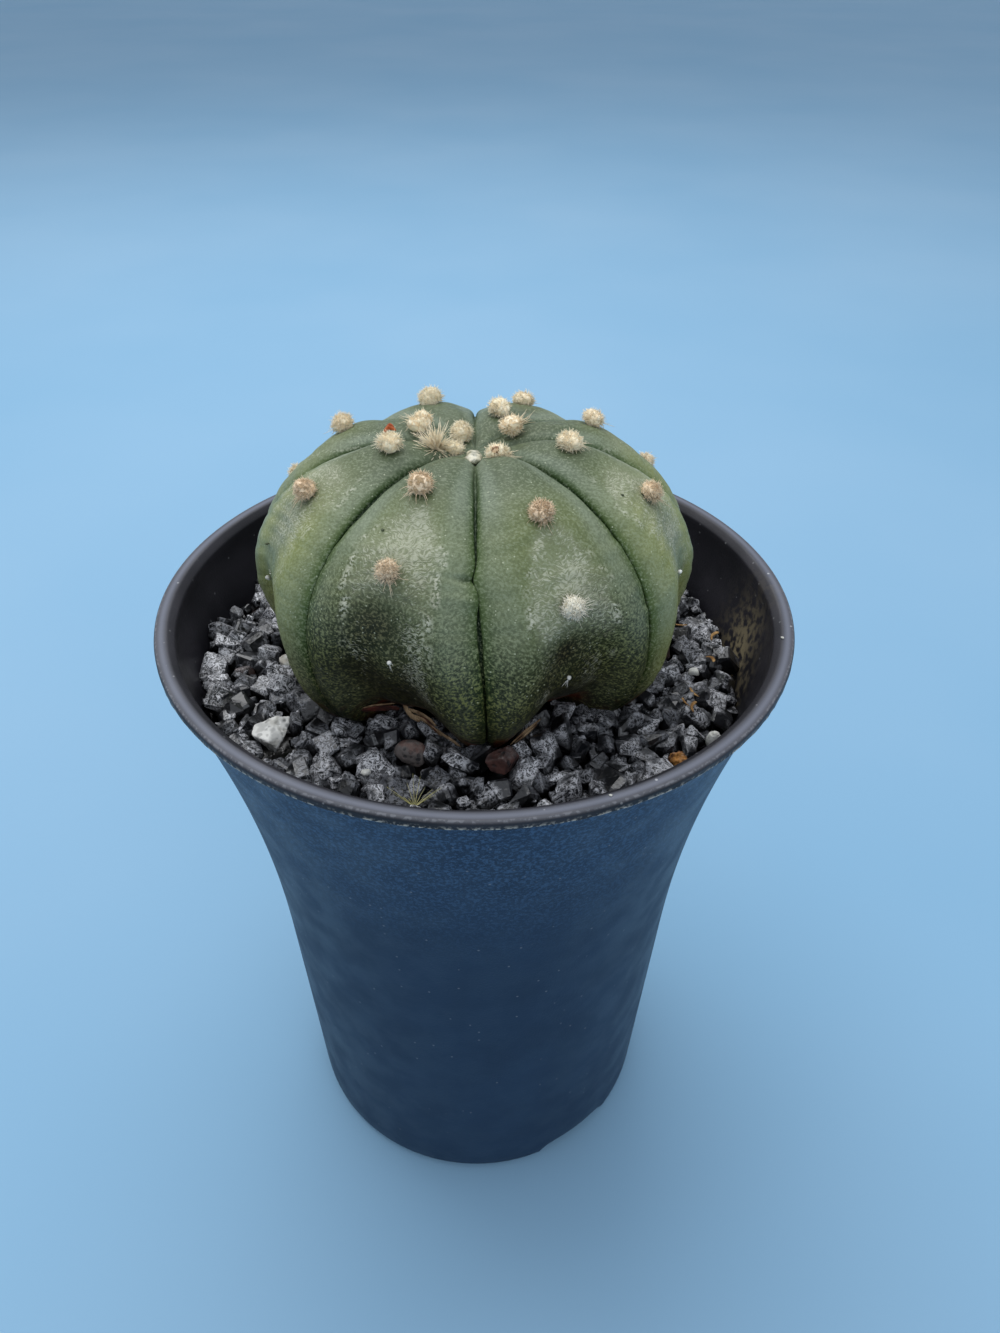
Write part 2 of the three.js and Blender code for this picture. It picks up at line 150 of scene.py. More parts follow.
# Areoles are woolly as far down the crest as the reach, and there are none past the last
WOOLLY_REACH = 37
LAST_AREOLE = 48
FRONT_RIBS = (0, 1, 6, 7)
BRUSH_HAIRS = 320
CROWN_TUFTS = [[-5.6, -2.2], [-3.2, -1.6], [-2.1, 2.8], [-0.2, -4.4], [2.5, -4.2]]

# Each woolly tuft's own form, by rib and number: size, width, height, flare, and how tan, mottled and
# bleached it is; then how many loose hairs trail from it, and their turn from straight down
TUFTS = {
    (0, 0): (1.05, 0.95, 0.9, 0, 0.7, 0.8, 0, 14, 0),
    (0, 1): (0.95, 0.95, 0.9, 0, 0, 0.8, 1, 40, -70),
    (1, 0): (1.15, 1.1, 0.75, 0, 0.05, 0.4, 0, 30, -25),
    (1, 1): (0.98, 0.95, 0.9, 0, 0.5, 0.6, 0, 10, 0),
    (2, 0): (1.1, 1.5, 0.95, 0.75, 0.15, 0.7, 0, 20, -20),
    (2, 1): (1.1, 1.1, 0.75, 0.2, 0.2, 0.4, 0, 8, 0),
    (2, 2): (0.85, 0.95, 0.85, 0, 0.3, 0.4, 0.2, 5, 0),
    (3, 0): (0.95, 1.1, 0.95, 0, 0, 0.3, 0, 6, 0),
    (3, 1): (1.0, 1.1, 0.8, 0, 0.15, 0.3, 0, 4, 0),
    (3, 2): (0.9, 1, 0.9, 0, 0.3, 0.3, 0.3, 4, 0),
    (4, 0): (0.7, 1, 0.6, 0, 0, 0.3, 0, 2, 0),
    (4, 1): (1.15, 1.1, 0.95, 0, 0, 0.3, 0, 4, 0),
    (4, 2): (0.9, 1, 0.9, 0, 0.2, 0.3, 0.2, 4, 0),
    (5, 0): (1.12, 1, 0.85, 0, 0.05, 0.6, 0, 20, 20),
    (5, 1): (1.1, 1.05, 0.85, 0, 0.15, 0.4, 0, 8, 0),
    (5, 2): (0.8, 1, 0.9, 0, 0.1, 0.3, 0, 5, 0),
    (6, 0): (1.15, 1.05, 0.75, 0, 0, 0.4, 0, 30, 60),
    (6, 1): (1.0, 0.95, 0.95, 0, 0.65, 0.75, 0, 10, 0),
    (7, 0): (1.1, 0.95, 0.9, 0, 0.6, 0.85, 0, 14, 10),
    (7, 1): (0.98, 0.9, 1, 0, 0.6, 0.75, 0.1, 10, 0),
}
TWIN_TUFT = (5, 0)

# Loose stones: the centre, half sizes and how deep each one sits, as in the frame. Then its form: the number
# of planes, how sharply they join and how rough it is. Then its dark, light and stain colours, the scale of
# its pits and its roughness, and its material slot
STONES = {
    "pale_stone": (
        [-30.1, -23.2], [2.9, 3, 2.7], 0.1, (9, 22, 1.2),
        [(120, 121, 120), (226, 226, 222), (160, 158, 150)], (900, 0.8), "pale_stone",
    ),
    "white_pellet": (
        [35.8, -22], [1.2, 1.1, 1.6], 0.1, (30, 6, 0.8),
        [(188, 190, 186), (236, 238, 234), (206, 204, 196)], (1500, 0.85), "white_stone",
    ),
    "white_chip": (
        [-30.2, -6], [1.6, 1.7, 1.6], 0.2, (12, 12, 1.0),
        [(168, 168, 160), (228, 228, 220), (180, 172, 158)], (1200, 0.85), "white_stone",
    ),
    "red_stone": (
        [3.4, -31], [2.6, 1.8, 1.8], 0.1, (10, 16, 0.9),
        [(20, 18, 20), (88, 58, 52), (36, 32, 34)], (1100, 0.55), "red_stone",
    ),
    "brown_pebble": (
        [-9.6, -27.6], [2.4, 2, 1.9], 0.2, (26, 4, 1.0),
        [(44, 43, 45), (116, 108, 104), (120, 86, 76)], (1000, 0.7), "brown_stone",
    ),
    "bark_crumb": (
        [29.3, -28.3], [1.6, 1.5, 1.8], 0.1, (16, 6, 4.5),
        [(82, 50, 24), (182, 128, 66), (130, 80, 36)], (1300, 0.9), "bark",
    ),
}
STONE_SEED = 60

# Camera, in metres and degrees: its lens is worked out from the photograph's tall frame
CAMERA_PLACE = (0, -0.13393, 0.20853)
CAMERA_YAW = 1.693
CAMERA_PITCH = 38.023
CAMERA_ROLL = -0.792
PHOTO_HEIGHT = 1333
FOCAL_PIXELS = 1001
SENSOR = 36

# Small finds, in the row frame. Strips: the path, the direction across it, the width and the thickness
STRIPS = {
    "cork_rind": [
        ([(-17, -21.8, 113.1), (-15.3, -21.6, 113.5), (-13.5, -21.3, 113.5), (-11.9, -21.3, 113.6)],
         (0, -1, 1), 0.35, 0.28),
        ([(-10.7, -21.7, 114.2), (-10.3, -22, 113), (-9.4, -22.6, 112.2), (-8.2, -23.3, 111.9)],
         (1, -0.4, 0.6), 1, 0.28),
        ([(-10.2, -21.9, 113.1), (-8.6, -22.8, 113.1), (-7, -23.8, 112.8), (-5.8, -25, 112.3)],
         (0.2, -0.5, 1), 1.2, 0.28),
        ([(-9.6, -22.3, 112.3), (-8, -23.3, 112.3), (-6.4, -24.6, 111.7), (-5, -25.8, 111.1)],
         (0.2, -0.5, 1), 1.1, 0.28),
        ([(-5.9, -25, 111.9), (-4.6, -26.1, 111.5), (-3.5, -27, 111.4), (-2.2, -27.8, 110.8)],
         (0.1, -0.5, 1), 1, 0.28),
        ([(9.4, -23.6, 112.5), (8.3, -24.4, 112.1), (7.3, -25.2, 111.7), (6.2, -26.1, 111.2)],
         (0, -0.4, 1), 0.9, 0.28),
        ([(8.9, -23.9, 111.9), (7.9, -24.8, 111.4), (6.7, -25.8, 111), (5.2, -26.9, 110.5)],
         (0, -0.4, 1), 0.8, 0.28),
        ([(7.6, -24.9, 112.2), (6.6, -25.9, 111.8), (5.6, -26.7, 111.3), (4.7, -27.3, 110.7)],
         (0, -0.4, 1), 0.4, 0.28),
    ],
    "red_rind": [
        ([(-17.2, -21, 112.1), (-15.3, -20.6, 112), (-13.2, -20.3, 111.9), (-11.3, -20.7, 112.1)],
         (0, -0.3, 1), 1.5, 0.3),
        ([(-8.6, -23, 112.7), (-7.4, -23.7, 112.4), (-6.4, -24.6, 111.9), (-5.8, -25.2, 111.3)],
         (0.3, -0.4, 1), 0.9, 0.3),
    ],
    "withered_flower": [
        ([(-13, -2.4, 147.4), (-12.3, -1.6, 147.9), (-11.2, -1.9, 147.6)], (0.2, -0.5, 1), 0.9, 0.5),
        ([(-12.9, -1.4, 147.3), (-12.1, -1.2, 148.2), (-11.5, -1.3, 147.5)], (0, -1, 0.6), 0.7, 0.4),
    ],
}

# Tails of two of the white dots: the root and the directions
DOT_TAILS = [
    ((12.5, -27.3, 122.8), [(-0.4, -0.1, -1), (-0.1, -0.2, -1), (-0.7, -0.1, -0.8)]),
    ((-11.6, -28.6, 126.5), [(0.1, 0, -1), (0.3, 0, -1)]),
]

# Round bits: the form, how many planes and how sharply they join, the first seed, rows and columns, then the
# place and radius of each
CRUMBS = {
    "white_dots": ((1, 1, 1), 16, 4, 80, 10, 14, [
        ((12.6, -27.3, 123.1), 0.36),
        ((-31.3, -6.5, 126), 0.4),
        ((29.3, -12.6, 130.8), 0.34),
        ((-11.6, -28.7, 126.9), 0.34),
    ]),
    "scars": ((0.3, 0.26, 0.16), 12, 6, 90, 8, 12, [
        ((-12.2, -19.2, 141.6), 1),
        ((20.3, -10.1, 141.8), 1),
        ((-30.2, -8.3, 133), 1),
    ]),
    "pale_crumbs": ((1, 0.8, 0.7), 10, 8, 100, 10, 14, [
        ((-15.6, -31.9, 109.9), 0.8),
        ((25.4, -32.1, 109.4), 0.8),
        ((35.2, -7.2, 108.2), 0.9),
        ((46.4, -12.6, 118.9), 0.3),
        ((16.7, -45.6, 118.9), 0.25),
    ]),
}
STRAW_ROOT = (-8.5, -38.6, 109.8)
HUSK_PLACES = [
    (38.6, -3, 107.6),
    (40.6, 3.2, 107.5),
    (35.6, 6.1, 108),
    (34.6, -12.5, 108),
    (33.2, -17.9, 109.6),
    (32.6, -16.6, 109.4),
]

# Dead plant matter: the dark and the light colour of each material. Then the finds: each one's material, and
# the node that it lies on
DRY_COLOURS = {
    "cork_rind": ((92, 66, 42), (176, 150, 116)),
    "red_rind": ((38, 12, 8), (92, 34, 16)),
    "dry_petal": ((160, 76, 38), (214, 126, 78)),
    "chaff": ((126, 90, 46), (196, 156, 100)),
    "pale_grain": ((196, 196, 188), (238, 238, 232)),
    "scar": ((58, 66, 42), (82, 90, 64)),
    "straw": ((150, 146, 92), (214, 208, 150)),
}
FINDS = {
    "cork_rind": ("cork_rind", "cactus"),
    "red_rind": ("red_rind", "cactus"),
    "withered_flower": ("dry_petal", "cactus"),
    "white_dots": ("pale_grain", "cactus"),
    "scars": ("scar", "cactus"),
    "straw": ("straw", "grit"),
    "husks": ("chaff", "grit"),
    "pale_crumbs": ("pale_grain", "grit"),
}


def colour(red, green, blue):
    """A colour given as screen values from 0 to 255, as linear red, green and blue."""
    screen = np.array([red, green, blue]) / 255
    linear = np.where(screen <= 0.04045, screen / 12.92, ((screen + 0.055) / 1.055) ** 2.4)
    return tuple(float(value) for value in linear)


# Numbers over whole arrays


def blend(start, end, share):
    """Start and end mixed by a share: start + share x (end - start)."""
    return start + share * (end - start)


def ease(value, low, high):
    """0 below low, 1 above high and 3s^2 - 2s^3 between, with s the share of the way."""
    share = np.clip((value - low) / (high - low), 0, 1)
    return share * share * (3 - 2 * share)


def bell(distance, width):
    """A bell curve: e to the power of minus (distance / width) squared."""
    return np.exp(-((distance / width) ** 2))


def spline(knots, share):
    """Points on the smooth curve through the knots: between two knots it is the cubic whose slope at each
    one is half the step between its neighbours. The end knots count twice."""
    knots = np.array(knots, float)
    place = np.clip(share, 0, 1) * (len(knots) - 1)
    index = np.minimum(place.astype(int), len(knots) - 2)
    part = (place - index)[..., None]
    start = knots[index]
    end = knots[index + 1]
    leave = (end - knots[np.maximum(index - 1, 0)]) / 2
    arrive = (knots[np.minimum(index + 2, len(knots) - 1)] - start) / 2
    cubic = (2 * start - 2 * end + leave + arrive) * part**3
    square = (3 * end - 3 * start - 2 * leave - arrive) * part**2
    return cubic + square + leave * part + start


def noise(points, size, seed=0):
    """Smooth noise from -1 to 1: a random number at each corner of a cubic lattice of the given size,
    eased between the eight corners round each point."""
    cell = np.asarray(points) / size
    low = np.floor(cell).astype(np.int64)
    weight = ease(cell - low, 0, 1)
    total = np.zeros(cell.shape[:-1])
    for corner in np.ndindex(2, 2, 2):
        at = low + corner
        mixed = (at[..., 0] * 73856093) ^ (at[..., 1] * 19349663) ^ (at[..., 2] * 83492791) ^ (seed * 7919)
        mixed = ((mixed ^ (mixed >> 13)) * 1274126177) & 0xFFFFFFFF
        value = ((mixed ^ (mixed >> 16)) & 0xFFFF) / 32767.5 - 1
        total += value * np.prod(np.where(corner, weight, 1 - weight), axis=-1)
    return total


def around(radius, azimuth, height):
    """The point at a radius and azimuth: x = r sin a, y = -r cos a."""
    radius, azimuth, height = np.broadcast_arrays(radius, azimuth, height)
    return np.stack([radius * np.sin(azimuth), -radius * np.cos(azimuth), height], axis=-1)


def unit(vectors):
    return vectors / np.maximum(np.linalg.norm(vectors, axis=-1, keepdims=True), 1e-9)


def random_turns(count, draw):
    """Random rotation matrices, one for each count, from unit quaternions of four normal draws."""
    w, x, y, z = unit(draw.normal(size=(count, 4))).T
    rows = [
        [1 - 2 * (y * y + z * z), 2 * (x * y - z * w), 2 * (x * z + y * w)],
        [2 * (x * y + z * w), 1 - 2 * (x * x + z * z), 2 * (y * z - x * w)],
        [2 * (x * z - y * w), 2 * (y * z + x * w), 1 - 2 * (x * x + y * y)],
    ]
    return np.moveaxis(np.array(rows), -1, 0)


def sphere_directions(count):
    """Even directions over a sphere: heights in equal steps, each turned by the golden angle."""
    index = np.arange(count) + 0.5
    height = 1 - 2 * index / count
    return around(np.sqrt(1 - height**2), index * GOLDEN_ANGLE, height)


# Meshes


class Shape:
    """Points, faces and numbers per point, gathered before they become one mesh."""

    def __init__(self):
        self.points = []
        self.faces = []
        self.numbers = {}
        self.count = 0

    def add(self, points, faces, **numbers):
        """Adds points of shape (n, 3), face arrays that count from 0, and named numbers per point."""
        self.points.append(points.reshape(-1, 3))
        self.faces.extend(face + self.count for face in faces)
        size = len(self.points[-1])
        for name, value in numbers.items():
            self.numbers.setdefault(name, []).append(np.broadcast_to(value, size))
        self.count += size

    def add_rings(self, grid, **numbers):
        """Adds a closed surface of rings. A number is one for all, or an array with one per grid point."""
        arranged = {name: ring_numbers(value) if np.ndim(value) else value for name, value in numbers.items()}
        self.add(*closed_rings(grid), **arranged)

    def piece(self, name, material, smooth=True):
        """One Blender object at the origin, its place in its mesh, in metres."""
        mesh = bpy.data.meshes.new(name)
        mesh.vertices.add(self.count)
        mesh.vertices.foreach_set("co", (np.concatenate(self.points) * MM).ravel())
        corners = np.concatenate([face.ravel() for face in self.faces])
        sides = np.concatenate([np.full(len(face), face.shape[1]) for face in self.faces])
        mesh.loops.add(len(corners))
        mesh.loops.foreach_set("vertex_index", corners.astype(np.int32))
        mesh.polygons.add(len(sides))
        mesh.polygons.foreach_set("loop_start", (np.cumsum(sides) - sides).astype(np.int32))
        mesh.polygons.foreach_set("use_smooth", np.full(len(sides), smooth))
        for label, values in self.numbers.items():
            data = mesh.attributes.new(label, "FLOAT", "POINT").data
            data.foreach_set("value", np.concatenate(values).astype(np.float32))
        mesh.update(calc_edges=True)
        mesh.validate()
        mesh.materials.append(material)
        made = bpy.data.objects.new(name, mesh)
        bpy.context.scene.collection.objects.link(made)
        return made


def ring_faces(rows, columns):
    """Four-sided faces between each ring of points and the next, the last column joined to the first."""
    start = np.arange(rows - 1)[:, None] * columns
    here = start + np.arange(columns)
    there = start + (np.arange(columns) + 1) % columns
    return np.stack([here, there, there + columns, here + columns], axis=-1).reshape(-1, 4)


def closed_rings(grid):
    """Points and faces of a closed surface whose rings run upward on the outside. The first and the last
    ring are drawn in to their own middle, which a fan of triangles joins to the next ring."""
    rows, columns = grid.shape[:2]
    foot = grid[0].mean(axis=0, keepdims=True)
    top = grid[-1].mean(axis=0, keepdims=True)
    points = np.concatenate([foot, grid[1:-1].reshape(-1, 3), top])
    here = np.arange(columns)
    there = (here + 1) % columns
    last = 1 + (rows - 3) * columns
    foot_fan = np.stack([np.zeros(columns, int), 1 + there, 1 + here], axis=-1)
    top_fan = np.stack([last + here, last + there, np.full(columns, len(points) - 1)], axis=-1)
    return points, [ring_faces(rows - 2, columns) + 1, foot_fan, top_fan]


def ring_numbers(values):
    """Numbers per grid point, ordered as closed_rings orders its points."""
    return np.concatenate([[values[0].mean()], values[1:-1].ravel(), [values[-1].mean()]])


def tubes(paths, radii, sides):
    """Closed tubes along many paths at once. Each path is a row of points; round each point stands a ring of
    the given radius, in two directions square to the path. A point closes each end."""
    count, steps = paths.shape[:2]
    along = unit(np.gradient(paths, axis=1))
    aside = unit(np.cross(along, np.array([0.31, 0.53, 0.79])))
    across = np.cross(along, aside)
    angle = np.arange(sides) * 2 * np.pi / sides
    spoke = aside[:, :, None] * np.cos(angle)[:, None] + across[:, :, None] * np.sin(angle)[:, None]
    rings = paths[:, :, None] + spoke * radii[:, :, None, None]
    points = np.concatenate([rings.reshape(count, -1, 3), paths[:, :1], paths[:, -1:]], axis=1)
    each = points.shape[1]
    here = np.arange(sides)
    there = (here + 1) % sides
    root = np.stack([np.full(sides, each - 2), there, here], axis=-1)
    last = (steps - 1) * sides
    tip = np.stack([last + here, last + there, np.full(sides, each - 1)], axis=-1)
    shift = (np.arange(count) * each)[:, None, None]
    faces = [(face + shift).reshape(-1, face.shape[1]) for face in (ring_faces(steps, sides), root, tip)]
    share = np.concatenate([np.repeat(np.linspace(0, 1, steps), sides), [0, 1]])
    return points.reshape(-1, 3), faces, np.tile(share, count)


def fit(piece, node):
    """Puts a piece in the place of one of the frame's nodes."""
    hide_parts(node)
    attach(piece, "root")


# Shader nodes


class Wire:
    """A value in a shader's node tree. Arithmetic on it, and its methods, add a node and give that node's
    value."""

    def __init__(self, socket):
        self.socket = socket

    def add(self, kind, inputs=None, output=0, **settings):
        return add_node(self.socket.id_data, kind, inputs, output, **settings)

    def math(self, operation, *others):
        return self.add("ShaderNodeMath", dict(enumerate((self, *others))), operation=operation)

    def __add__(self, other):
        return self.math("ADD", other)

    def __sub__(self, other):
        return self.math("SUBTRACT", other)

    def __mul__(self, other):
        return self.math("MULTIPLY", other)

    def soft(self, low, high, start=0, end=1):
        """This value eased from start, at low, to end, at high."""
        inputs = {"Value": self, "From Min": low, "From Max": high, "To Min": start, "To Max": end}
        return self.add("ShaderNodeMapRange", inputs, interpolation_type="SMOOTHSTEP")

    def mix(self, first, second):
        """The first colour where this value is 0, and the second where it is 1."""
        return self.add("ShaderNodeMix", {0: self, 6: first, 7: second}, 2, data_type="RGBA")


def plug(socket, value):
    """Joins a wire to a socket, or gives the socket a value of its own. A colour gets a full alpha."""
    if isinstance(value, Wire):
        socket.id_data.links.new(value.socket, socket)
    else:
        socket.default_value = (*value, 1) if socket.type == "RGBA" else value


def add_node(tree, kind, inputs=None, output=0, **settings):
    """A new node, given as the wire of one of its outputs."""
    node = tree.nodes.new(kind)
    for name, value in settings.items():
        setattr(node, name, value)
    for label, value in (inputs or {}).items():
        plug(node.inputs[label], value)
    return Wire(node.outputs[output])


def layered(base, *layers):
    """The base colour with layers over it, each a share and a colour."""
    for share, over in layers:
        base = share.mix(base, over)
    return base


def shared_effect(name, outputs, **inputs):
    """An empty node group that takes a vector and named numbers: its inputs as wires, and its outputs."""
    tree = bpy.data.node_groups.new(name, "ShaderNodeTree")
    tree.interface.new_socket(name="Vector", in_out="INPUT", socket_type="NodeSocketVector")
    for label, value in inputs.items():
        socket = tree.interface.new_socket(name=label, in_out="INPUT", socket_type="NodeSocketFloat")
        socket.default_value = value
    for label in outputs:
        tree.interface.new_socket(name=label, in_out="OUTPUT", socket_type="NodeSocketFloat")
    given = {socket.name: Wire(socket) for socket in tree.nodes.new("NodeGroupInput").outputs}
    return given, tree.nodes.new("NodeGroupOutput").inputs


def texture(given, kind, output="Fac", **inputs):
    """A texture at an effect's own place and scale."""
    place = {"Vector": given["Vector"], "Scale": given["Scale"]}
    return given["Vector"].add("ShaderNodeTex" + kind, place | inputs, output)


def facing_up(given, spread):
    """How far the surface faces up: 0 below the effect's Tilt and 1 above it by the spread."""
    tilt = given["Tilt"]
    normal = tilt.add("ShaderNodeTexCoord", output="Normal")
    return tilt.add("ShaderNodeSeparateXYZ", {"Vector": normal}, "Z").soft(tilt, tilt + spread)


def make_mottle():
    """Clouded mask: noise of one size, eased from 0 at Low to 1 at High."""
    given, wanted = shared_effect("Mottle", ["Mask"], Scale=500, Detail=3, Low=0.35, High=0.65)
    cloud = texture(given, "Noise", Detail=given["Detail"])
    plug(wanted["Mask"], cloud.soft(given["Low"], given["High"]))


def make_flecks():
    """Scattered spots: in a share of the cells, a soft spot of the given size round the cell's own point."""
    given, wanted = shared_effect("Flecks", ["Mask"], Scale=500, Share=0.3, Size=0.25)
    drawn = texture(given, "Voronoi", "Color")
    chosen = drawn.add("ShaderNodeSeparateColor", {"Color": drawn}).math("LESS_THAN", given["Share"])
    spot = texture(given, "Voronoi", "Distance").soft(given["Size"] * 0.5, given["Size"], 1, 0)
    plug(wanted["Mask"], chosen * spot)


def make_pitted():
    """Porous rock: round pits between ridges, from the distance to scattered points, roughened by noise."""
    given, wanted = shared_effect("Pitted", ["Height", "Ridge"], Scale=1500)
    bend = texture(given, "Noise", "Color")
    bent = {0: bend, 1: (PIT_BEND * MM,) * 3, 2: given["Vector"]}
    moved = bend.add("ShaderNodeVectorMath", bent, operation="MULTIPLY_ADD")
    near = texture(given, "Voronoi", "Distance", Vector=moved)
    rough = texture(given, "Noise", Detail=4, Roughness=0.7)
    height = near.soft(0.1, 0.55) + rough * 0.8
    plug(wanted["Height"], height)
    plug(wanted["Ridge"], height.soft(0.75, 1.3))


def make_crust_and_sheen():
    """Bright marbled crust on the faces that look up, partly real and partly a painted sheen of the sky:
    veins where folded noise crosses its middle value.
    """
    given, wanted = shared_effect("CrustAndSheen", ["Mask"], Scale=1500, Width=0.05, Tilt=0)
    folded = texture(given, "Noise", Detail=2, Distortion=1.2)
    veins = (folded - 0.5).math("ABSOLUTE").soft(0, given["Width"], 1, 0)
    plug(wanted["Mask"], veins * facing_up(given, 0.6))


def make_dust():
    """Settled dust: broken by noise, and only where the surface faces up by more than Tilt."""
    given, wanted = shared_effect("Dust", ["Mask"], Scale=800, Tilt=0.5)
    broken = texture(given, "Noise", Detail=5, Roughness=0.65).soft(0.45, 0.7)
    plug(wanted["Mask"], facing_up(given, 0.4) * broken)


# Materials


class Material:
    """A material in the making. Fixed values stand on the shader's own sockets."""

    def __init__(self, name, **fixed):
        self.made = bpy.data.materials.new(name)
        self.made.use_nodes = True
        self.tree = self.made.node_tree
        self.shader = self.tree.nodes["Principled BSDF"]
        for label, value in fixed.items():
            plug(self.shader.inputs[label.replace("_", " ").title().replace("Ior", "IOR")], value)
        self.place = add_node(self.tree, "ShaderNodeTexCoord", output="Object")

    def number(self, name):
        """One of the mesh's own numbers per point."""
        return add_node(self.tree, "ShaderNodeAttribute", output="Fac", attribute_name=name)

    def noise(self, per_mm, detail=2, rough=0.5, place=None):
        inputs = {"Vector": place or self.place, "Scale": per_mm / MM, "Detail": detail, "Roughness": rough}
        return add_node(self.tree, "ShaderNodeTexNoise", inputs, "Fac")

    def effect(self, name, output="Mask", **values):
        """One of the shared effects, with its own values."""
        inputs = {label.title(): value for label, value in values.items()} | {"Vector": self.place}
        return add_node(self.tree, "ShaderNodeGroup", inputs, output, node_tree=bpy.data.node_groups[name])

    def mottle(self, scale, low=0.35, high=0.65, detail=3):
        return self.effect("Mottle", scale=scale, low=low, high=high, detail=detail)

    def bump(self, height, distance, strength, under=None):
        """Relief: a height of 1 stands proud by the distance in millimetres."""
        inputs = {"Height": height, "Distance": distance * MM, "Strength": strength}
        return add_node(self.tree, "ShaderNodeBump", inputs | ({"Normal": under} if under else {}), "Normal")

    def finish(self, base, roughness, normal):
        for label, value in {"Base Color": base, "Roughness": roughness, "Normal": normal}.items():
            plug(self.shader.inputs[label], value)
        return self.made


def pot_plastic(look):
    """Satin plastic: deep blue outside, partly the navy plastic and partly a painted reflection of the blue
    floor, blue-grey on the lip, black inside, with a fine sandy grain that is paler blue on the upper flare
    as a painted reflection, pale specks, a pale outer edge that is partly wear and partly a painted
    highlight, a ragged seam and a dirty streak where water has run."""
    plastic = Material("pot_plastic", specular_ior_level=0.28)
    number = plastic.number
    cloud = plastic.mottle(90, 0.3, 0.7)
    scuff = plastic.mottle(1500, 0.46, 0.6)
    specks = plastic.effect("Flecks", scale=620, share=0.2, size=0.15)
    sand = plastic.noise(1.8, 3, 0.7).soft(0.46, 0.62)
    seam = number("seam") * scuff
    dirt = number("dirt") * plastic.mottle(700, 0.42, 0.6, 6)
    base = layered(
        # Deep blue outside: partly the navy plastic, partly a painted reflection of the blue floor
        cloud.mix(colour(23, 43, 66), look.outside_colour),
        (number("inside"), cloud.mix(colour(28, 28, 33), look.inside_colour)),
        (number("lip"), look.lip_colour),
        # Paler blue sand on the upper flare: a real grain, its pale blue a painted reflection of the floor
        (sand * number("flare") * 0.5, colour(70, 102, 136)),
        (specks * number("lip").soft(0, 1, 0.2, 0.7), colour(196, 198, 200)),
        (seam * 0.9, colour(186, 180, 168)),
        # Pale line on the rim's outer edge, broken by scuffs: partly wear, partly a painted highlight
        (number("worn") * scuff.soft(0, 1, 0.45, 1) * 0.5, colour(168, 170, 176)),
        (dirt, colour(150, 138, 108)),
    )
    rough = plastic.noise(0.15, 4).soft(0.3, 0.7, look.roughness, look.roughness + 0.14) + dirt * 0.35
    grain = plastic.bump(plastic.noise(2.6, 2, 0.6), 0.05, 0.6)
    return plastic.finish(base, rough, plastic.bump(seam, 0.08, 0.7, grain))


def cactus_skin(look):
    """Waxy green skin: grey-green on the crown, olive-black at the foot, partly darker skin and partly
    painted shade, deep green by the grooves, partly deeper green skin and partly painted shade, with a
    painted shade line in each crease. The waxy grey on the flanks is partly real wax and partly a painted
    reflection of the sky.
    White scurf lies below the areoles in fine wavy wrinkles, which climb outward from the crest. Lower down
    it breaks into curls, then into a stipple. The arched lower edges are corked brown."""
    skin = Material("cactus_skin", specular_ior_level=0.22)
    number = skin.number
    lower, shade = number("lower"), number("shade")
    cloud = skin.mottle(130, 0.3, 0.7)
    curls = skin.noise(0.001, 3, 0.6, wrinkle_place(skin))
    knit = skin.noise(2.6, 2, 0.55) * 0.55 + curls * 0.45
    bare = shade * lower.soft(0.6, 1)
    stipple = knit.soft(0.5, 0.58) * lower.soft(0, 0.8, 0.26, 0.66) * bare.soft(0, 1, 1, 0.15)
    pores = knit.soft(0.4, 0.5, 1, 0) * lower.soft(0, 0.8, 0.2, 0.72)
    dots = skin.effect("Flecks", scale=1250, share=0.34, size=0.17)
    density = number("scurf").math("MAXIMUM", number("curls") * 0.85)
    scurf = (curls - density.soft(0, 1, 0.66, 0.44)).soft(-0.02, 0.1) * density.soft(0.02, 0.35)
    white = (scurf * 0.36).math("MAXIMUM", number("edge") * skin.mottle(2600, 0.42, 0.56) * 0.7)
    rusty = skin.mottle(210, 0.5, 0.64) * lower * 0.8
    base = layered(
        cloud.mix(colour(102, 112, 72), look.middle_colour),
        (number("crown"), look.crown_colour),
        # lower: darker skin near the grit, partly real and partly painted shade from the pot and the overhang
        (lower, cloud.mix(colour(26, 30, 9), look.lower_colour)),
        (number("sallow"), look.sallow_colour),
        # Waxy grey on the flanks: partly real wax, partly a painted sheen reflecting the sky
        (number("bloom") * 0.65, look.bloom_colour),
        # shade: darker skin on the lower front crests, partly real and partly painted shade, and painted
        # shade at the grooves' feet
        (shade, look.shade_colour),
        # groove: deeper green skin beside the grooves, partly painted shade in the valleys
        (number("groove") * 0.8, look.groove_colour),
        # crease: painted shade, a dark line in each groove's crease and in the pinched kink beside the front
        # groove
        (number("crease"), colour(14, 40, 10)),
        # foot: painted shade where the skin meets the grit
        (number("foot") * 0.7, colour(16, 18, 8)),
        (stipple, shade.mix(lower.mix(colour(156, 166, 142), colour(126, 132, 76)), colour(108, 102, 68))),
        (pores, colour(20, 27, 12)),
        (dots * 0.6, colour(196, 202, 174)),
        (number("scurf") * shade.soft(0, 0.6, 0.18, 0), look.scurf_colour),
        (white, rusty.mix(look.scurf_colour, colour(158, 134, 100))),
        (number("cork"), skin.mottle(420, detail=5).mix(colour(46, 12, 6), colour(104, 40, 18))),
    )
    rough = skin.noise(0.4, 3).soft(0.3, 0.7, look.roughness - 0.06, look.roughness + 0.08) + white * 0.2
    return skin.finish(base, rough, skin.bump(white, 0.06, 0.8, skin.bump(knit, 0.1, 0.7)))


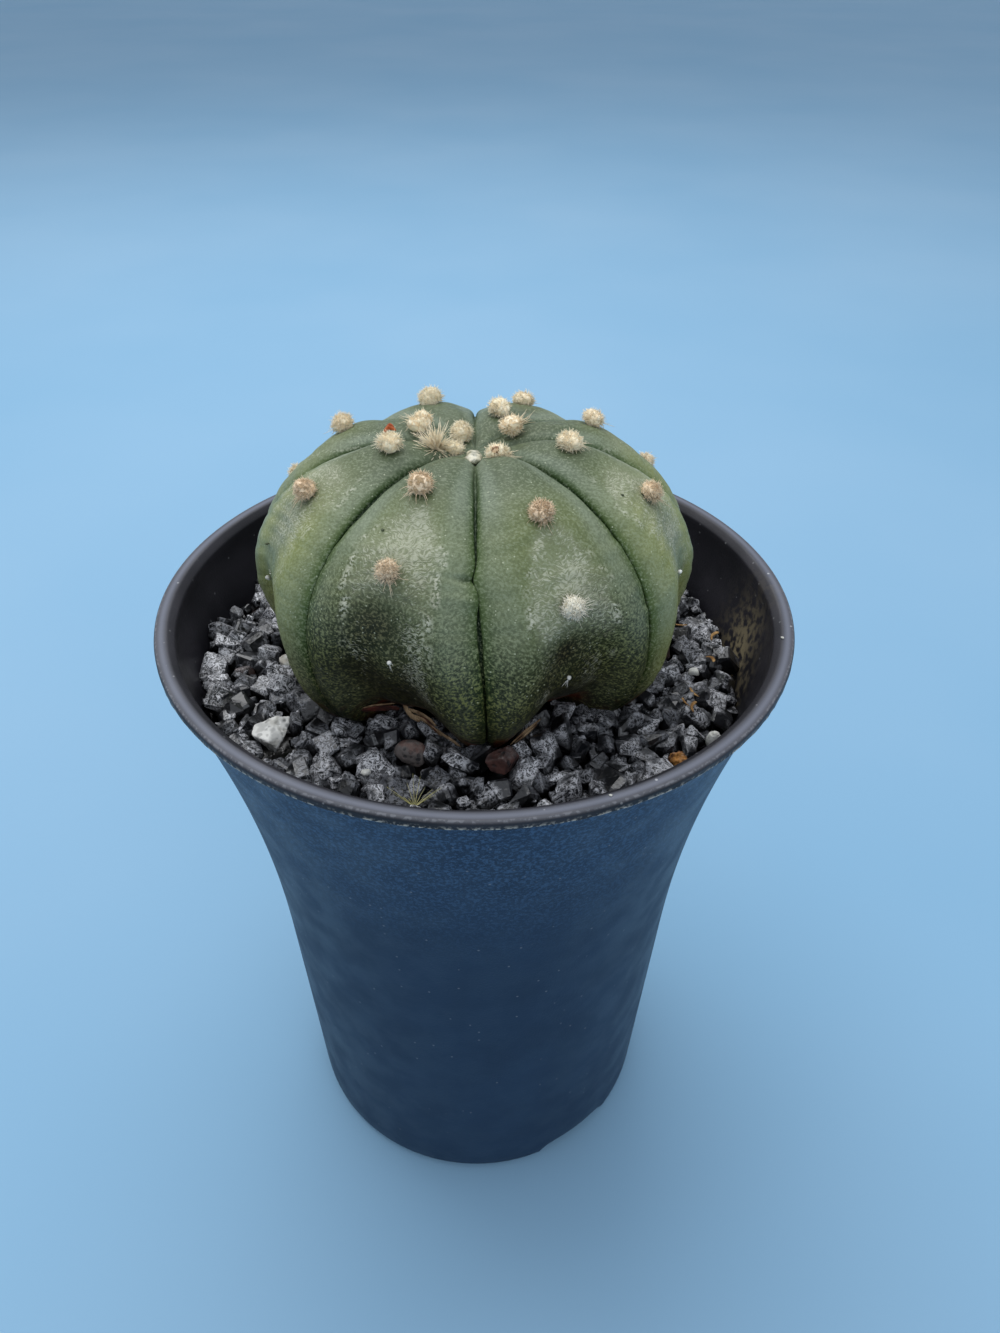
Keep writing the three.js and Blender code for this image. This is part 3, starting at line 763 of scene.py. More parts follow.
def wrinkle_place(skin):
    """Where a point lies among the wrinkles: a lattice stretched along them. Descent plus half the way aside
    is the same all along a wrinkle, and a slow wave bends it."""
    aside = skin.number("aside")
    bent = skin.number("descent") + skin.noise(0.9, 1) * 1.6
    across = aside.math("ABSOLUTE").math("MULTIPLY_ADD", 0.55, bent) * 4.4
    return aside.add("ShaderNodeCombineXYZ", {"X": across, "Y": aside * 1.35})


def areole_wool(look):
    """Felted wool: cream on young tufts, tan on older ones, some bleached white, with darker roots showing
    between the tips where it is mottled."""
    sheen = colour(255, 236, 204)
    wool = Material("areole_wool", specular_ior_level=0.15, sheen_weight=0.6, sheen_tint=sheen)
    tan, bleach = wool.number("tan"), wool.number("bleach")
    cloud = wool.mottle(900)
    felt = wool.mottle(1700, 0.44, 0.54)
    old_root = cloud.mix(colour(78, 46, 28), colour(128, 90, 60))
    tip = layered(look.young_colour, (tan, look.old_colour), (bleach, colour(250, 246, 230)))
    root = layered(colour(232, 200, 148), (tan, old_root), (bleach, colour(216, 212, 192)))
    deep = felt * wool.number("mottle") * wool.number("tip").soft(0.4, 1, 1, 0.45)
    return wool.finish(deep.mix(tip, root), cloud.soft(0, 1, 0.85, 0.95), wool.bump(felt, 0.14, 0.8))


def glassy_web():
    """The crown's web: dried film, cream, smooth and wet-looking."""
    web = Material("crown_web", coat_weight=0.6, coat_roughness=0.12)
    cloud = web.mottle(900)
    base = cloud.mix(colour(112, 114, 92), colour(206, 200, 176))
    return web.finish(base, cloud.soft(0, 1, 0.25, 0.5), web.bump(web.noise(1.6), 0.2, 0.6))


def lava_grit(look):
    """Crushed lava: nearly black low on each grain, which is painted shade for the gaps between grains, with
    a marbled crust on the upper faces, coarse and fine, that is broken in patches; the crust is partly real
    and partly a painted sheen of the sky. Each grain has its own tone, and a few are reddish."""
    lava = Material("lava_grit", specular_ior_level=0.8)
    tone = lava.number("tone")
    rise = lava.number("rise").soft(-0.2, 0.6)
    coarse = lava.effect("CrustAndSheen", scale=900, width=0.08, tilt=-0.2)
    fine = lava.effect("CrustAndSheen", scale=1500, width=0.06, tilt=0)
    # Bright crust on the upward faces: partly real, partly a painted sheen of the sky
    crust_and_sheen = coarse.math("MAXIMUM", fine * 0.7) * lava.mottle(240, 0.38, 0.54) * rise
    base = layered(
        # Each grain black towards its foot: painted shade in the gaps between grains
        rise.mix(look.gap_shade_colour, tone.mix(colour(15, 16, 18), colour(32, 34, 39))),
        # Crust colour: partly real, partly a painted sheen of the sky
        (crust_and_sheen, tone.mix(colour(110, 113, 120), look.crust_and_sheen_colour)),
        (lava.number("red"), colour(66, 48, 42)),
    )
    pits = lava.bump(lava.effect("Pitted", "Height", scale=1500), 0.06, 0.5)
    return lava.finish(base, crust_and_sheen.soft(0, 1, 0.3, 0.55), lava.bump(crust_and_sheen, 0.06, 0.6, pits))


def weathered_stone(name, dark, light, stain, pits, roughness):
    """A loose stone: two tones clouded together, stained in patches, its face pitted at the given scale."""
    stone = Material(name)
    height, ridge = (stone.effect("Pitted", output, scale=pits) for output in ("Height", "Ridge"))
    base = layered(
        dark,
        ((ridge + stone.mottle(520, 0.38, 0.62, 5)) * 0.5, light),
        (stone.mottle(330, 0.52, 0.66) * 0.7, stain),
        (stone.effect("Dust", scale=1100, tilt=0.5) * 0.2, colour(200, 198, 190)),
    )
    rough = ridge.soft(0, 1, min(1, roughness + 0.1), roughness)
    return stone.finish(base, rough, stone.bump(height, 0.16, 0.7))


def potting_mix():
    """Dark brown peat with paler fibres and grains of perlite."""
    peat = Material("potting_mix")
    cloud = peat.mottle(350, detail=6)
    perlite = peat.effect("Flecks", scale=260, share=0.2, size=0.3)
    base = layered(colour(30, 22, 16), (cloud, colour(74, 56, 42)), (perlite, colour(186, 184, 176)))
    return peat.finish(base, cloud.soft(0, 1, 0.95, 0.85), peat.bump(peat.noise(0.6, 6, 0.7), 0.9, 0.9))


def dry_husk(name, dark, light):
    """Thin dead plant matter, such as cork strips, straw and a withered flower: lengthwise fibres."""
    husk = Material(name)
    cloud = husk.mottle(600, detail=5)
    lengthwise = husk.place.add("ShaderNodeMapping", {"Vector": husk.place, "Scale": (1, 1, 0.3)})
    fibre = husk.noise(4, 3, place=lengthwise)
    base = layered(dark, (cloud, light), (fibre.soft(0.35, 0.7, 0.4, 0), dark))
    return husk.finish(base, cloud.soft(0, 1, 0.9, 0.75), husk.bump(fibre, 0.1, 0.7))


def studio_floor(look):
    """A plain pale matt floor with a faint grain."""
    floor = Material("studio_floor")
    cloud = floor.mottle(4, 0.2, 0.8)
    base = (cloud * 0.06).mix(look.floor_colour, (1, 1, 1))
    return floor.finish(base, cloud.soft(0, 1, 0.8, 0.86), floor.bump(floor.noise(0.8), 0.05, 0.1))


# Pot


def outer_radius(height):
    """Radius of the wall outside: a slight taper, plus a flare that grows with a power of the height."""
    rise = np.maximum(0, (height - FLARE_START) / FLARE_SPAN)
    return FOOT_RADIUS + WALL_SLOPE * height + FLARE * rise**FLARE_POWER


def inner_radius(height):
    return np.minimum(MOUTH_RADIUS, outer_radius(height) - WALL)


def rounded(profile, reach, steps=4):
    """The profile with each corner replaced by an arch: a quadratic curve that leaves and meets the two sides
    at the reach from the corner, or at a third of a shorter side."""
    profile = np.array(profile, float)
    before, corner, after = profile[:-2], profile[1:-1], profile[2:]
    share = np.linspace(0, 1, steps)[:, None, None]

    def off(side):
        length = np.linalg.norm(side - corner, axis=1, keepdims=True)
        return corner + (side - corner) / length * np.minimum(reach, length / 3)

    start, end = off(before), off(after)
    arch = (1 - share) ** 2 * start + 2 * share * (1 - share) * corner + share**2 * end
    inner = np.moveaxis(arch, 0, 1).reshape(-1, 2)
    return np.concatenate([profile[:1], inner, profile[-1:]])


def pot_profile():
    """The pot's outline as [radius, height], from the middle of its underside, over the rim, to the middle of
    its floor."""
    floor_top = BASE_UNDERSIDE + BASE_THICKNESS
    ring_inside = FOOT_RADIUS - FOOT_RING_WIDTH
    under = POT_HEIGHT - RIM_BAND
    foot = [[0, BASE_UNDERSIDE], [8, BASE_UNDERSIDE], [ring_inside - 0.6, BASE_UNDERSIDE], [ring_inside, 0]]
    foot += [[FOOT_RADIUS - FOOT_CORNER, 0], [FOOT_RADIUS, FOOT_CORNER]]
    rising = np.linspace(4, under - 1.2, 64)
    falling = np.linspace(POT_HEIGHT - 3.5, floor_top + 2, 40)
    lip = [[outer_radius(under), under], [RIM_RADIUS - RIM_EDGE, under + 0.1], [RIM_RADIUS, under + RIM_EDGE]]
    lip += [[RIM_RADIUS, POT_HEIGHT - RIM_EDGE], [RIM_RADIUS - RIM_EDGE, POT_HEIGHT]]
    lip += [[RIM_RADIUS - share * RIM_FLAT, POT_HEIGHT] for share in (0.3, 0.5, 0.7, 1)]
    lip += [[MOUTH_RADIUS, POT_HEIGHT - RIM_BEVEL_DROP]]
    inner_floor = [[inner_radius(floor_top) - 2, floor_top], [8, floor_top], [0, floor_top]]
    return np.concatenate(
        [
            rounded([*foot, [outer_radius(4), 4]], 0.5),
            np.stack([outer_radius(rising), rising], axis=1)[1:],
            rounded([[outer_radius(under - 0.6), under - 0.6], *lip, [MOUTH_RADIUS, POT_HEIGHT - 2.4]], 0.3),
            np.stack([inner_radius(falling), falling], axis=1),
            np.array(inner_floor),
        ]
    )


def notch_height(azimuth):
    """Height of the foot's lower edge: nothing, except an arch over each notch, whose height falls as
    (1 - s^3) to the power 0.4, with s the share of the way out from its middle."""
    height = np.zeros_like(azimuth)
    for middle in NOTCH_AZIMUTHS:
        turn = (azimuth - np.radians(middle) + np.pi) % (2 * np.pi) - np.pi
        out = np.abs(turn * FOOT_RADIUS / (NOTCH_WIDTH / 2))
        height += NOTCH_HEIGHT * np.maximum(0, 1 - out**3) ** 0.4
    return height


def first_wider(profile, radius):
    """The first row of the profile that lies outside the radius."""
    return int(np.argmax(profile[:, 0] > radius))


def make_pot(look):
    """The profile carried round the axis. Near the foot its rows are pressed up over the notches' arches. The
    moulding seam under the lip is ragged by noise, and the wall is slightly uneven."""
    profile = pot_profile()
    azimuth = np.linspace(0, 2 * np.pi, look.segments, endpoint=False)
    radius = np.repeat(profile[:, :1], look.segments, axis=1)
    height = np.repeat(profile[:, 1:], look.segments, axis=1)
    row = np.arange(len(profile))[:, None]
    ring_row = first_wider(profile, FOOT_RADIUS - FOOT_RING_WIDTH - 0.3)
    lip_row = first_wider(profile, outer_radius(POT_HEIGHT - RIM_BAND) + 0.1)
    rim_row = first_wider(profile, RIM_RADIUS - 0.05)
    arch = notch_height(azimuth)
    pressed = (height < NOTCH_REACH) & (row >= ring_row) & (row < rim_row)
    height = np.where(pressed, arch + height * (1 - arch / NOTCH_REACH), height)
    on_seam = bell(height - (POT_HEIGHT - RIM_BAND + RIM_EDGE), 0.3) * (row <= rim_row + 2)
    grid = around(radius, azimuth, height)
    radius = radius + 0.11 * on_seam * np.maximum(0, noise(grid, 1.1, 3) + 0.4 * noise(grid, 0.5, 4))
    radius = radius + 0.12 * noise(grid * [1, 1, 0.4], 30, 5) * ease(height, 10, 60) * (height < 116)
    inside = np.broadcast_to(row >= lip_row, height.shape) * 1.0
    degrees = np.degrees(azimuth)
    streak = bell(degrees - 92, 7) * bell(height - 103, 9)
    streak = streak + 0.6 * bell(degrees - 80, 4) * bell(height - 100, 6)
    across_lip = (RIM_RADIUS - radius) / RIM_FLAT
    shape = Shape()
    shape.add_rings(
        around(radius, azimuth, height),
        inside=inside,
        lip=(height > POT_HEIGHT - 0.4) * bell(across_lip - 0.55, 0.3),
        # A pale line round the rim's outer corner: partly wear, partly a painted highlight
        worn=bell(np.hypot(radius - RIM_RADIUS + 0.2, height - POT_HEIGHT), 0.2),
        seam=on_seam,
        dirt=(row > rim_row + 8) * np.clip(streak, 0, 1),
        # flare: the upper wall, where the sand carries its painted reflection of the floor
        flare=ease(height, 70, 112) * (1 - inside),
    )
    pot = shape.piece("pot_shell", pot_plastic(look))
    drill(pot)
    fit(pot, "pot")


def drill(pot):
    """Cuts the drainage holes: one in the middle of the floor and a circle of smaller ones."""
    cutter = Shape()
    azimuth = np.linspace(0, 2 * np.pi, 40, endpoint=False)
    circle = [(around(HOLE_CIRCLE, k * 2 * np.pi / HOLE_COUNT, 0), HOLE_RADIUS) for k in range(HOLE_COUNT)]
    for middle, radius in [((0, 0, 0), CENTRE_HOLE_RADIUS), *circle]:
        rings = [around(r, azimuth, z) for r, z in ((0, 1), (radius, 1), (radius, 7), (0, 7))]
        cutter.add_rings(np.array(rings) + middle)
    drills = cutter.piece("drills", pot.data.materials[0])
    cut = pot.modifiers.new("holes", "BOOLEAN")
    cut.operation = "DIFFERENCE"
    cut.solver = "EXACT"
    cut.object = drills
    result = bpy.data.meshes.new_from_object(pot.evaluated_get(bpy.context.evaluated_depsgraph_get()))
    pot.modifiers.clear()
    pot.data = result
    bpy.data.objects.remove(drills)


# Stem


def planted(vectors, shift=True):
    """Vectors of the stem's own frame, leaned back; points are also moved to where it stands."""
    back = np.radians(-LEAN_BACK)
    tip = np.array([[1, 0, 0], [0, np.cos(back), -np.sin(back)], [0, np.sin(back), np.cos(back)]])
    return vectors @ tip.T + (np.array([*STEM_OFFSET, SEAT_HEIGHT]) if shift else 0)


def groove_azimuth(number, share):
    """A groove's azimuth in degrees: its own at the top, plus its drift, eased in on the way down."""
    groove = number % RIBS
    drift = np.array(GROOVE_TWISTS)[groove] * ease(share, TWIST_FROM, TWIST_TO)
    return np.array(GROOVE_AZIMUTHS)[groove] + drift + 360 * (number // RIBS)


def stem_surface(turn, share):
    """Radius, azimuth, height and place across the rib, for a turn in ribs and a share of the way down.
    Across runs as a sine from -1 in one groove to 1 in the next. The crest's meridian is eased into the
    flank's, and the flank bends into the groove's by a power of the way there, gently on the crown and more
    steeply below. Near the base the crest ends in an arch and the front is tucked in. The back lies lower."""
    rib = np.floor(turn).astype(int) % RIBS
    across = np.sin((turn - np.floor(turn) - 0.5) * np.pi)
    azimuth = blend(groove_azimuth(rib, share), groove_azimuth(rib + 1, share), (across + 1) / 2)
    azimuth = np.radians(azimuth)
    side = spline(FLANK_LINE, share)
    low = 1 - ease(side[..., 1], 0, ARCH_TOP)
    aside = np.abs(across - ARCH_SHIFT * low * np.sin(2 * azimuth))
    to_flank = ease(aside, blend(0, ARCH_FROM, low), blend(FLANK_AT, ARCH_TO, low))
    past = np.maximum(0, (np.abs(across) - GROOVE_FROM) / (1 - GROOVE_FROM))
    to_groove = past ** blend(CROWN_BEND, SIDE_BEND, ease(share, 0.2, 0.5))
    place = blend(spline(CREST_LINE, share), side, to_flank[..., None])
    place = blend(place, spline(GROOVE_LINE, share), to_groove[..., None])
    tuck = FRONT_TUCK * (1 - ease(side[..., 1], 0, TUCK_TOP)) * np.maximum(0, np.cos(azimuth)) ** 4
    radius = np.maximum(0, place[..., 0] - tuck * np.minimum(1, place[..., 0] / 20))
    return radius, azimuth, place[..., 1] - back_drop(radius, azimuth, place[..., 1]), across


def back_drop(radius, azimuth, height):
    """How far the crown lies lower at the back: more the further it is from the growing point."""
    return BACK_DROP * np.maximum(0, -np.cos(azimuth)) ** 2 * ease(radius, 5, 18) * ease(height, 10, 30)


def crest_arc():
    """Shares of the way down the crest, and the length of the crest above each."""
    share = np.linspace(0, 1, 2001)
    steps = np.linalg.norm(np.diff(spline(CREST_LINE, share), axis=0), axis=1)
    return share, np.concatenate([[0], np.cumsum(steps)])


def areoles():
    """Every areole as (rib, its number in the rib, distance down the crest, side step)."""
    found = []
    for rib, (first, spacing, side) in enumerate(AREOLES):
        count = int(np.ceil((LAST_AREOLE - first) / spacing))
        found += [(rib, number, first + number * spacing, side) for number in range(count)]
    return found


def grid_normals(grid):
    """Outward normals of a grid of rings: the way round crossed with the way up."""
    way_round = np.roll(grid, -1, axis=1) - np.roll(grid, 1, axis=1)
    way_up = np.gradient(grid, axis=0)
    normals = np.cross(way_round, way_up)
    normals[0] = normals[1].mean(axis=0)
    normals[-1] = normals[-2].mean(axis=0)
    return unit(normals)


def skin_marks(grid, rib, descent, aside, groove_gap, height):
    """The marks that follow the crests: scurf in a band that widens on the way down, broken into curls below
    the second areole, with a beaded edge, and dark skin on the lower half of the front ribs, partly real and
    partly painted shade. Painted shade also darkens the hollows at the foot of every groove."""
    first, spacing = np.array(AREOLES)[rib, 0], np.array(AREOLES)[rib, 1]
    second = first + spacing
    front, strength = np.array(RIB_SHADE)[rib], np.array(RIB_SCURF)[rib]
    band = blend(2.3, 6.4, ease(descent, first, first + 10)) + 0.8 * noise(grid, 2.2, 31)
    thinned = np.clip(0.75 + 0.55 * noise(grid, 3.2, 32), 0, 1)
    patches = strength * ease(band - np.abs(aside), -0.4, 1.6) * thinned
    start, fading = np.maximum(first, 19), second + 6 - 7 * front
    whole = ease(descent, start, start + 3.5) * (1 - ease(descent, fading, fading + 8))
    broken = ease(descent, second + 1, second + 6) * (1 - 0.5 * ease(descent, second + 12, second + 24))
    clear_crest = 1 - 0.9 * bell(aside + 1.2, 2.6)
    edge = bell(np.abs(aside) - band + 0.2, 0.22) * ease(descent, first + 3, first + 8) * strength
    edge = edge * (1 - ease(descent, second + 4, second + 14)) * (noise(grid, 5, 35) > -0.3)
    # Below the second areole the front crests darken: partly real skin, partly painted shade under the
    # overhang
    shade = front * bell(aside + 2, blend(3.4, 7, ease(descent, second, second + 16)))
    shade = shade * ease(descent, second + 1, second + 6) * np.clip(0.8 + 0.4 * noise(grid, 4, 36), 0, 1)
    # Painted shade in the hollows at the foot of every groove
    shade = np.maximum(shade, 0.85 * bell(groove_gap, 1.6) * (1 - ease(height, 5, 18)))
    # The front ribs darker towards the bottom, away from the front groove
    shade = np.maximum(shade, 0.8 * front * (1 - ease(height, 6, 15)) * ease(groove_gap, 3, 7))
    marks = {
        "scurf": patches * whole,
        "curls": patches * broken * clear_crest * ease(height, 4, 12),
        "edge": edge,
        "shade": shade,
    }
    return {name: np.clip(value, 0, 1) for name, value in marks.items()}


def make_stem(look):
    """The stem surface with its fine relief, moved along its own normal: soft lumps, a cut along each groove,
    a seat for each areole, a faint keel below them and a pinched crease beside the front groove."""
    buried = np.linspace(1, look.visible_share, 14)
    shown = np.linspace(look.visible_share, 0, look.rows)[1:]
    share = np.concatenate([buried, shown])[:, None]
    turn = np.arange(RIBS * look.columns_per_rib)[None, :] / look.columns_per_rib
    turn, share = np.broadcast_arrays(turn, share)
    radius, azimuth, height, across = stem_surface(turn, share)
    descent = np.interp(share, *crest_arc())
    rib = np.floor(turn).astype(int) % RIBS
    spans = np.diff([*GROOVE_AZIMUTHS, GROOVE_AZIMUTHS[0] + 360])
    half_width = np.radians(spans[rib]) / 2 * radius
    groove_gap = (1 - np.abs(across)) * half_width
    aside = across * half_width
    first, spacing = np.array(AREOLES)[rib, 0], np.array(AREOLES)[rib, 1]
    past_kink = descent - look.kink_descent / MM
    left_of_front = (turn > 7) & (across > 0)
    azimuth = azimuth - 0.016 * bell(past_kink, 1.2) * bell(groove_gap, 2) * ((turn > 7.5) | (turn < 0.5))

    grid = planted(around(radius, azimuth, height))
    lumps = 0.28 * noise(grid, 11, 21) + 0.12 * noise(grid, 4.5, 22) + 0.035 * noise(grid, 1.6, 23)
    swollen = 0.9 * bell(groove_gap, 0.7) * ease(descent, 20, 32) + 0.08 * bell(groove_gap - 1, 0.6)
    depth = look.groove_cut / MM * blend(0.35, 1, ease(descent, 20, 36))
    cut = swollen - depth * np.exp(-groove_gap / 0.3) * ease(descent, 8, 14)
    waist = 0.28 * np.cos(2 * np.pi * (descent - first) / spacing) * bell(aside, 5) * ease(descent, 8, 20)
    keel = -0.16 * bell(aside, 0.5) * ease(descent, first + 2, first + 6) * (0.6 + 0.6 * noise(grid, 7, 24))
    pleats = 0.1 * noise(np.stack([azimuth * radius / 3, descent, turn * 0], axis=-1), 1.3, 25)
    seats = np.zeros_like(descent)
    for number, _, distance, side in areoles():
        away = np.hypot(descent - distance, aside - side)
        bare = 0.3 * bell(away, 1.1) - 0.4 * bell(away, 0.5)
        seats += (rib == number) * (-0.5 * bell(away, 1.6) if distance < WOOLLY_REACH else bare)
    near_front = left_of_front * bell(groove_gap - 1, 1.5)
    pinch = -0.55 * bell(past_kink, 0.4) * near_front
    bulge = 0.5 * bell(past_kink - 2, 1.5) * near_front
    soft_relief = lumps + waist + keel + pleats * ease(descent, 18, 30)
    relief = ease(descent, 2, 9) * soft_relief + cut + seats + pinch + bulge
    grid = grid + grid_normals(grid) * relief[..., None]

    # Painted shade in the pinched crease of the kink beside the front groove
    kink_shade = left_of_front * bell(past_kink, 0.35) * bell(groove_gap - 0.8, 1.0)
    # The skin darkens towards the grit, higher up on the front ribs: partly real, partly painted shade
    low = 1 - ease(height, 2 + 6 * np.array(RIB_SHADE)[rib], 24 + 10 * np.array(RIB_SHADE)[rib])
    facing = np.abs((np.degrees(azimuth) + 180) % 360 - 180)
    side_ribs = ease(facing, 44, 56) * (1 - ease(facing, 92, 120))
    sallow = side_ribs * ease(descent, 20, 32) * ease(np.abs(aside), 1, 6)
    flank = ease(np.abs(across), 0.4, 0.7) * (1 - ease(np.abs(across), 0.85, 0.97))
    # Beside each groove: deeper green skin, partly painted shade in the valley
    by_groove = bell(groove_gap, blend(0.9, 1.8, ease(descent, 20, 40))) * ease(descent, 6, 20)
    facing_down = ease(-grid_normals(grid)[..., 2], 0.35, 0.7)
    underside = facing_down * (1 - ease(height, 4, 7)) * (np.abs(across) < 0.9)
    shape = Shape()
    shape.add_rings(
        grid,
        descent=descent,
        aside=aside,
        crown=1 - ease(descent, 14, 25),
        lower=np.clip(low + 0.25 * noise(grid, 9, 33), 0, 1),
        groove=by_groove * (1 - 0.7 * low),
        # A dark line in each groove's crease and the kink: painted shade
        crease=np.maximum(bell(groove_gap, 0.2) * ease(descent, 8, 22), 0.6 * kink_shade),
        # Near-black at the very foot of the stem: painted shade against the grit
        foot=1 - ease(height + 1.5 * noise(grid, 3, 37), 1, 9),
        # Waxy grey on the flanks: partly real wax, partly a painted sheen reflecting the sky
        bloom=np.clip(flank * (0.5 + 0.6 * noise(grid, 8, 34)) * (1 - 0.6 * low), 0, 1),
        sallow=0.75 * sallow,
        cork=underside,
        **skin_marks(grid, rib, descent, aside, groove_gap, height),
    )
    fit(shape.piece("stem_skin", cactus_skin(look)), "cactus")


# Wool


def areole_seat(rib, distance, side):
    """Where an areole stands on the stem, and three axes there, in the row frame: to the left as seen from
    outside, down the rib and outward."""
    share, arc = crest_arc()
    at = np.interp(distance, arc, share)
    near = spline(CREST_LINE, np.array([at - 0.002, at, at + 0.002]))
    slope = unit(near[2] - near[0])
    azimuth = np.radians((groove_azimuth(rib, at) + groove_azimuth(rib + 1, at)) / 2) + side / near[1, 0]
    place = planted(around(near[1, 0], azimuth, near[1, 1] - back_drop(near[1, 0], azimuth, near[1, 1])))
    outward = planted(around(-slope[1], azimuth, slope[0]), shift=False)
    down = planted(around(slope[0], azimuth, slope[1]), shift=False)
    return place, np.stack([np.cross(down, outward), down, outward])


def add_cushion(shape, centre, axes, half, flare, marks):
    """A felted cushion: an egg with lumps of three sizes, narrowed towards its foot by the flare."""
    polar = np.linspace(np.pi, 0, 22)[:, None]
    azimuth = np.linspace(0, 2 * np.pi, 34, endpoint=False)
    ball = around(np.sin(polar), azimuth, np.cos(polar))
    felt = ball * half + centre
    lumps = 0.22 * noise(felt, 1.6, 41) + 0.14 * noise(felt, 0.7, 42) + 0.08 * noise(felt, 0.33, 43)
    ball = ball * (1 + lumps)[..., None]
    ball[..., :2] *= 1 - flare * (1 - ball[..., 2:]) / 2
    shape.add_rings(centre + (ball * half) @ axes, tip=0.4, **marks)


def add_hairs(shape, centre, axes, roots, aims, lengths, thickness, curl, marks, draw):
    """Hairs as thin closed tubes: a hair's middle at a share s of its length is
    root + length (aim s + bend s^2)."""
    along = np.linspace(0, 1, 4)[None, :, None]
    bends = unit(draw.normal(size=aims.shape))[:, None] * curl
    paths = roots[:, None] + lengths[:, None, None] * (aims[:, None] * along + bends * along**2)
    widths = thickness * blend(1.0, 0.35, along[..., 0]) * draw.uniform(0.7, 1.2, (len(aims), 1))
    points, faces, tip = tubes(centre + paths @ axes, widths, 3)
    shape.add(points, faces, tip=0.4 + 0.6 * tip, **marks)


def add_tuft(shape, centre, axes, half, flare, hairs, length, thickness, marks, draw):
    """One tuft: a cushion, and short hairs that stand on it in even directions and curl aside."""
    half = np.array(half)
    add_cushion(shape, centre, axes, half, flare, marks)
    aims = sphere_directions(int(hairs * 1.35))
    aims = aims[aims[:, 2] > -0.5]
    roots = aims * half * 0.94
    roots[:, :2] *= 1 - flare * (1 - aims[:, 2:]) / 2
    leaning = unit(aims + draw.normal(scale=0.4, size=aims.shape))
    lengths = length * draw.uniform(0.5, 1.15, len(aims))
    add_hairs(shape, centre, axes, roots, leaning, lengths, thickness, 0.45, marks, draw)


def add_wisps(shape, centre, axes, half, count, turn, length, thickness, marks, draw):
    """Long loose hairs that leave a tuft's edge and lie along the skin, round the given turn from straight
    down in degrees, positive to the left."""
    angle = np.radians(turn) + draw.normal(scale=0.55, size=count)
    lift = draw.uniform(-0.35, 0.1, count)
    aims = unit(np.stack([np.sin(angle), np.cos(angle), lift], axis=-1))
    roots = aims * np.array(half) * [0.75, 0.75, 0.5]
    lengths = length * draw.uniform(0.5, 1.2, count)
    add_hairs(shape, centre, axes, roots, aims, lengths, thickness, 0.3, marks, draw)


def make_wool(look):
    """The crests' tufts, the bare dots of the oldest areoles, and the hairier wool of the crown."""
    draw = np.random.default_rng(7)
    thickness = look.hair_thickness / MM / 2
    front, back, crown, web = Shape(), Shape(), Shape(), Shape()
    for rib, number, distance, side in areoles():
        shape = front if rib in FRONT_RIBS else back
        place, axes = areole_seat(rib, distance, side)
        if distance >= WOOLLY_REACH:
            marks = {"tan": 0.0, "bleach": 1.0, "mottle": 0.1}
            add_tuft(shape, place, axes, [0.5, 0.55, 0.4], 0, 14, 0.4, 0.06, marks, draw)
            continue
        size, wide, tall, flare, tan, mottle, bleach, wisps, turn = TUFTS[rib, number]
        marks = {"tan": tan, "bleach": bleach, "mottle": mottle}
        radius = size * look.tuft_radius / MM * 0.7
        half = radius * np.array([wide, max(0.95, wide - 0.1), tall])
        centre = place + axes[2] * (0.2 + half[2] * 0.55)
        lobes = (-0.6, 0.6) if (rib, number) == TWIN_TUFT else (0,)
        for lobe in lobes:
            at = centre + axes[0] * lobe * radius
            form = half * (1 - 0.3 * abs(lobe))
            add_tuft(shape, at, axes, form, flare, look.hairs // len(lobes), 0.6, thickness, marks, draw)
        add_wisps(shape, centre, axes, half, wisps, turn, 1.9, thickness, marks, draw)
    add_crown(crown, web, look, draw)
    wool = areole_wool(look)
    fit(front.piece("areole_wool_front", wool), "cactus")
    fit(back.piece("areole_wool_back", wool), "cactus")
    fit(crown.piece("crown_wool", wool), "cactus")
    fit(web.piece("crown_web", glassy_web()), "cactus")


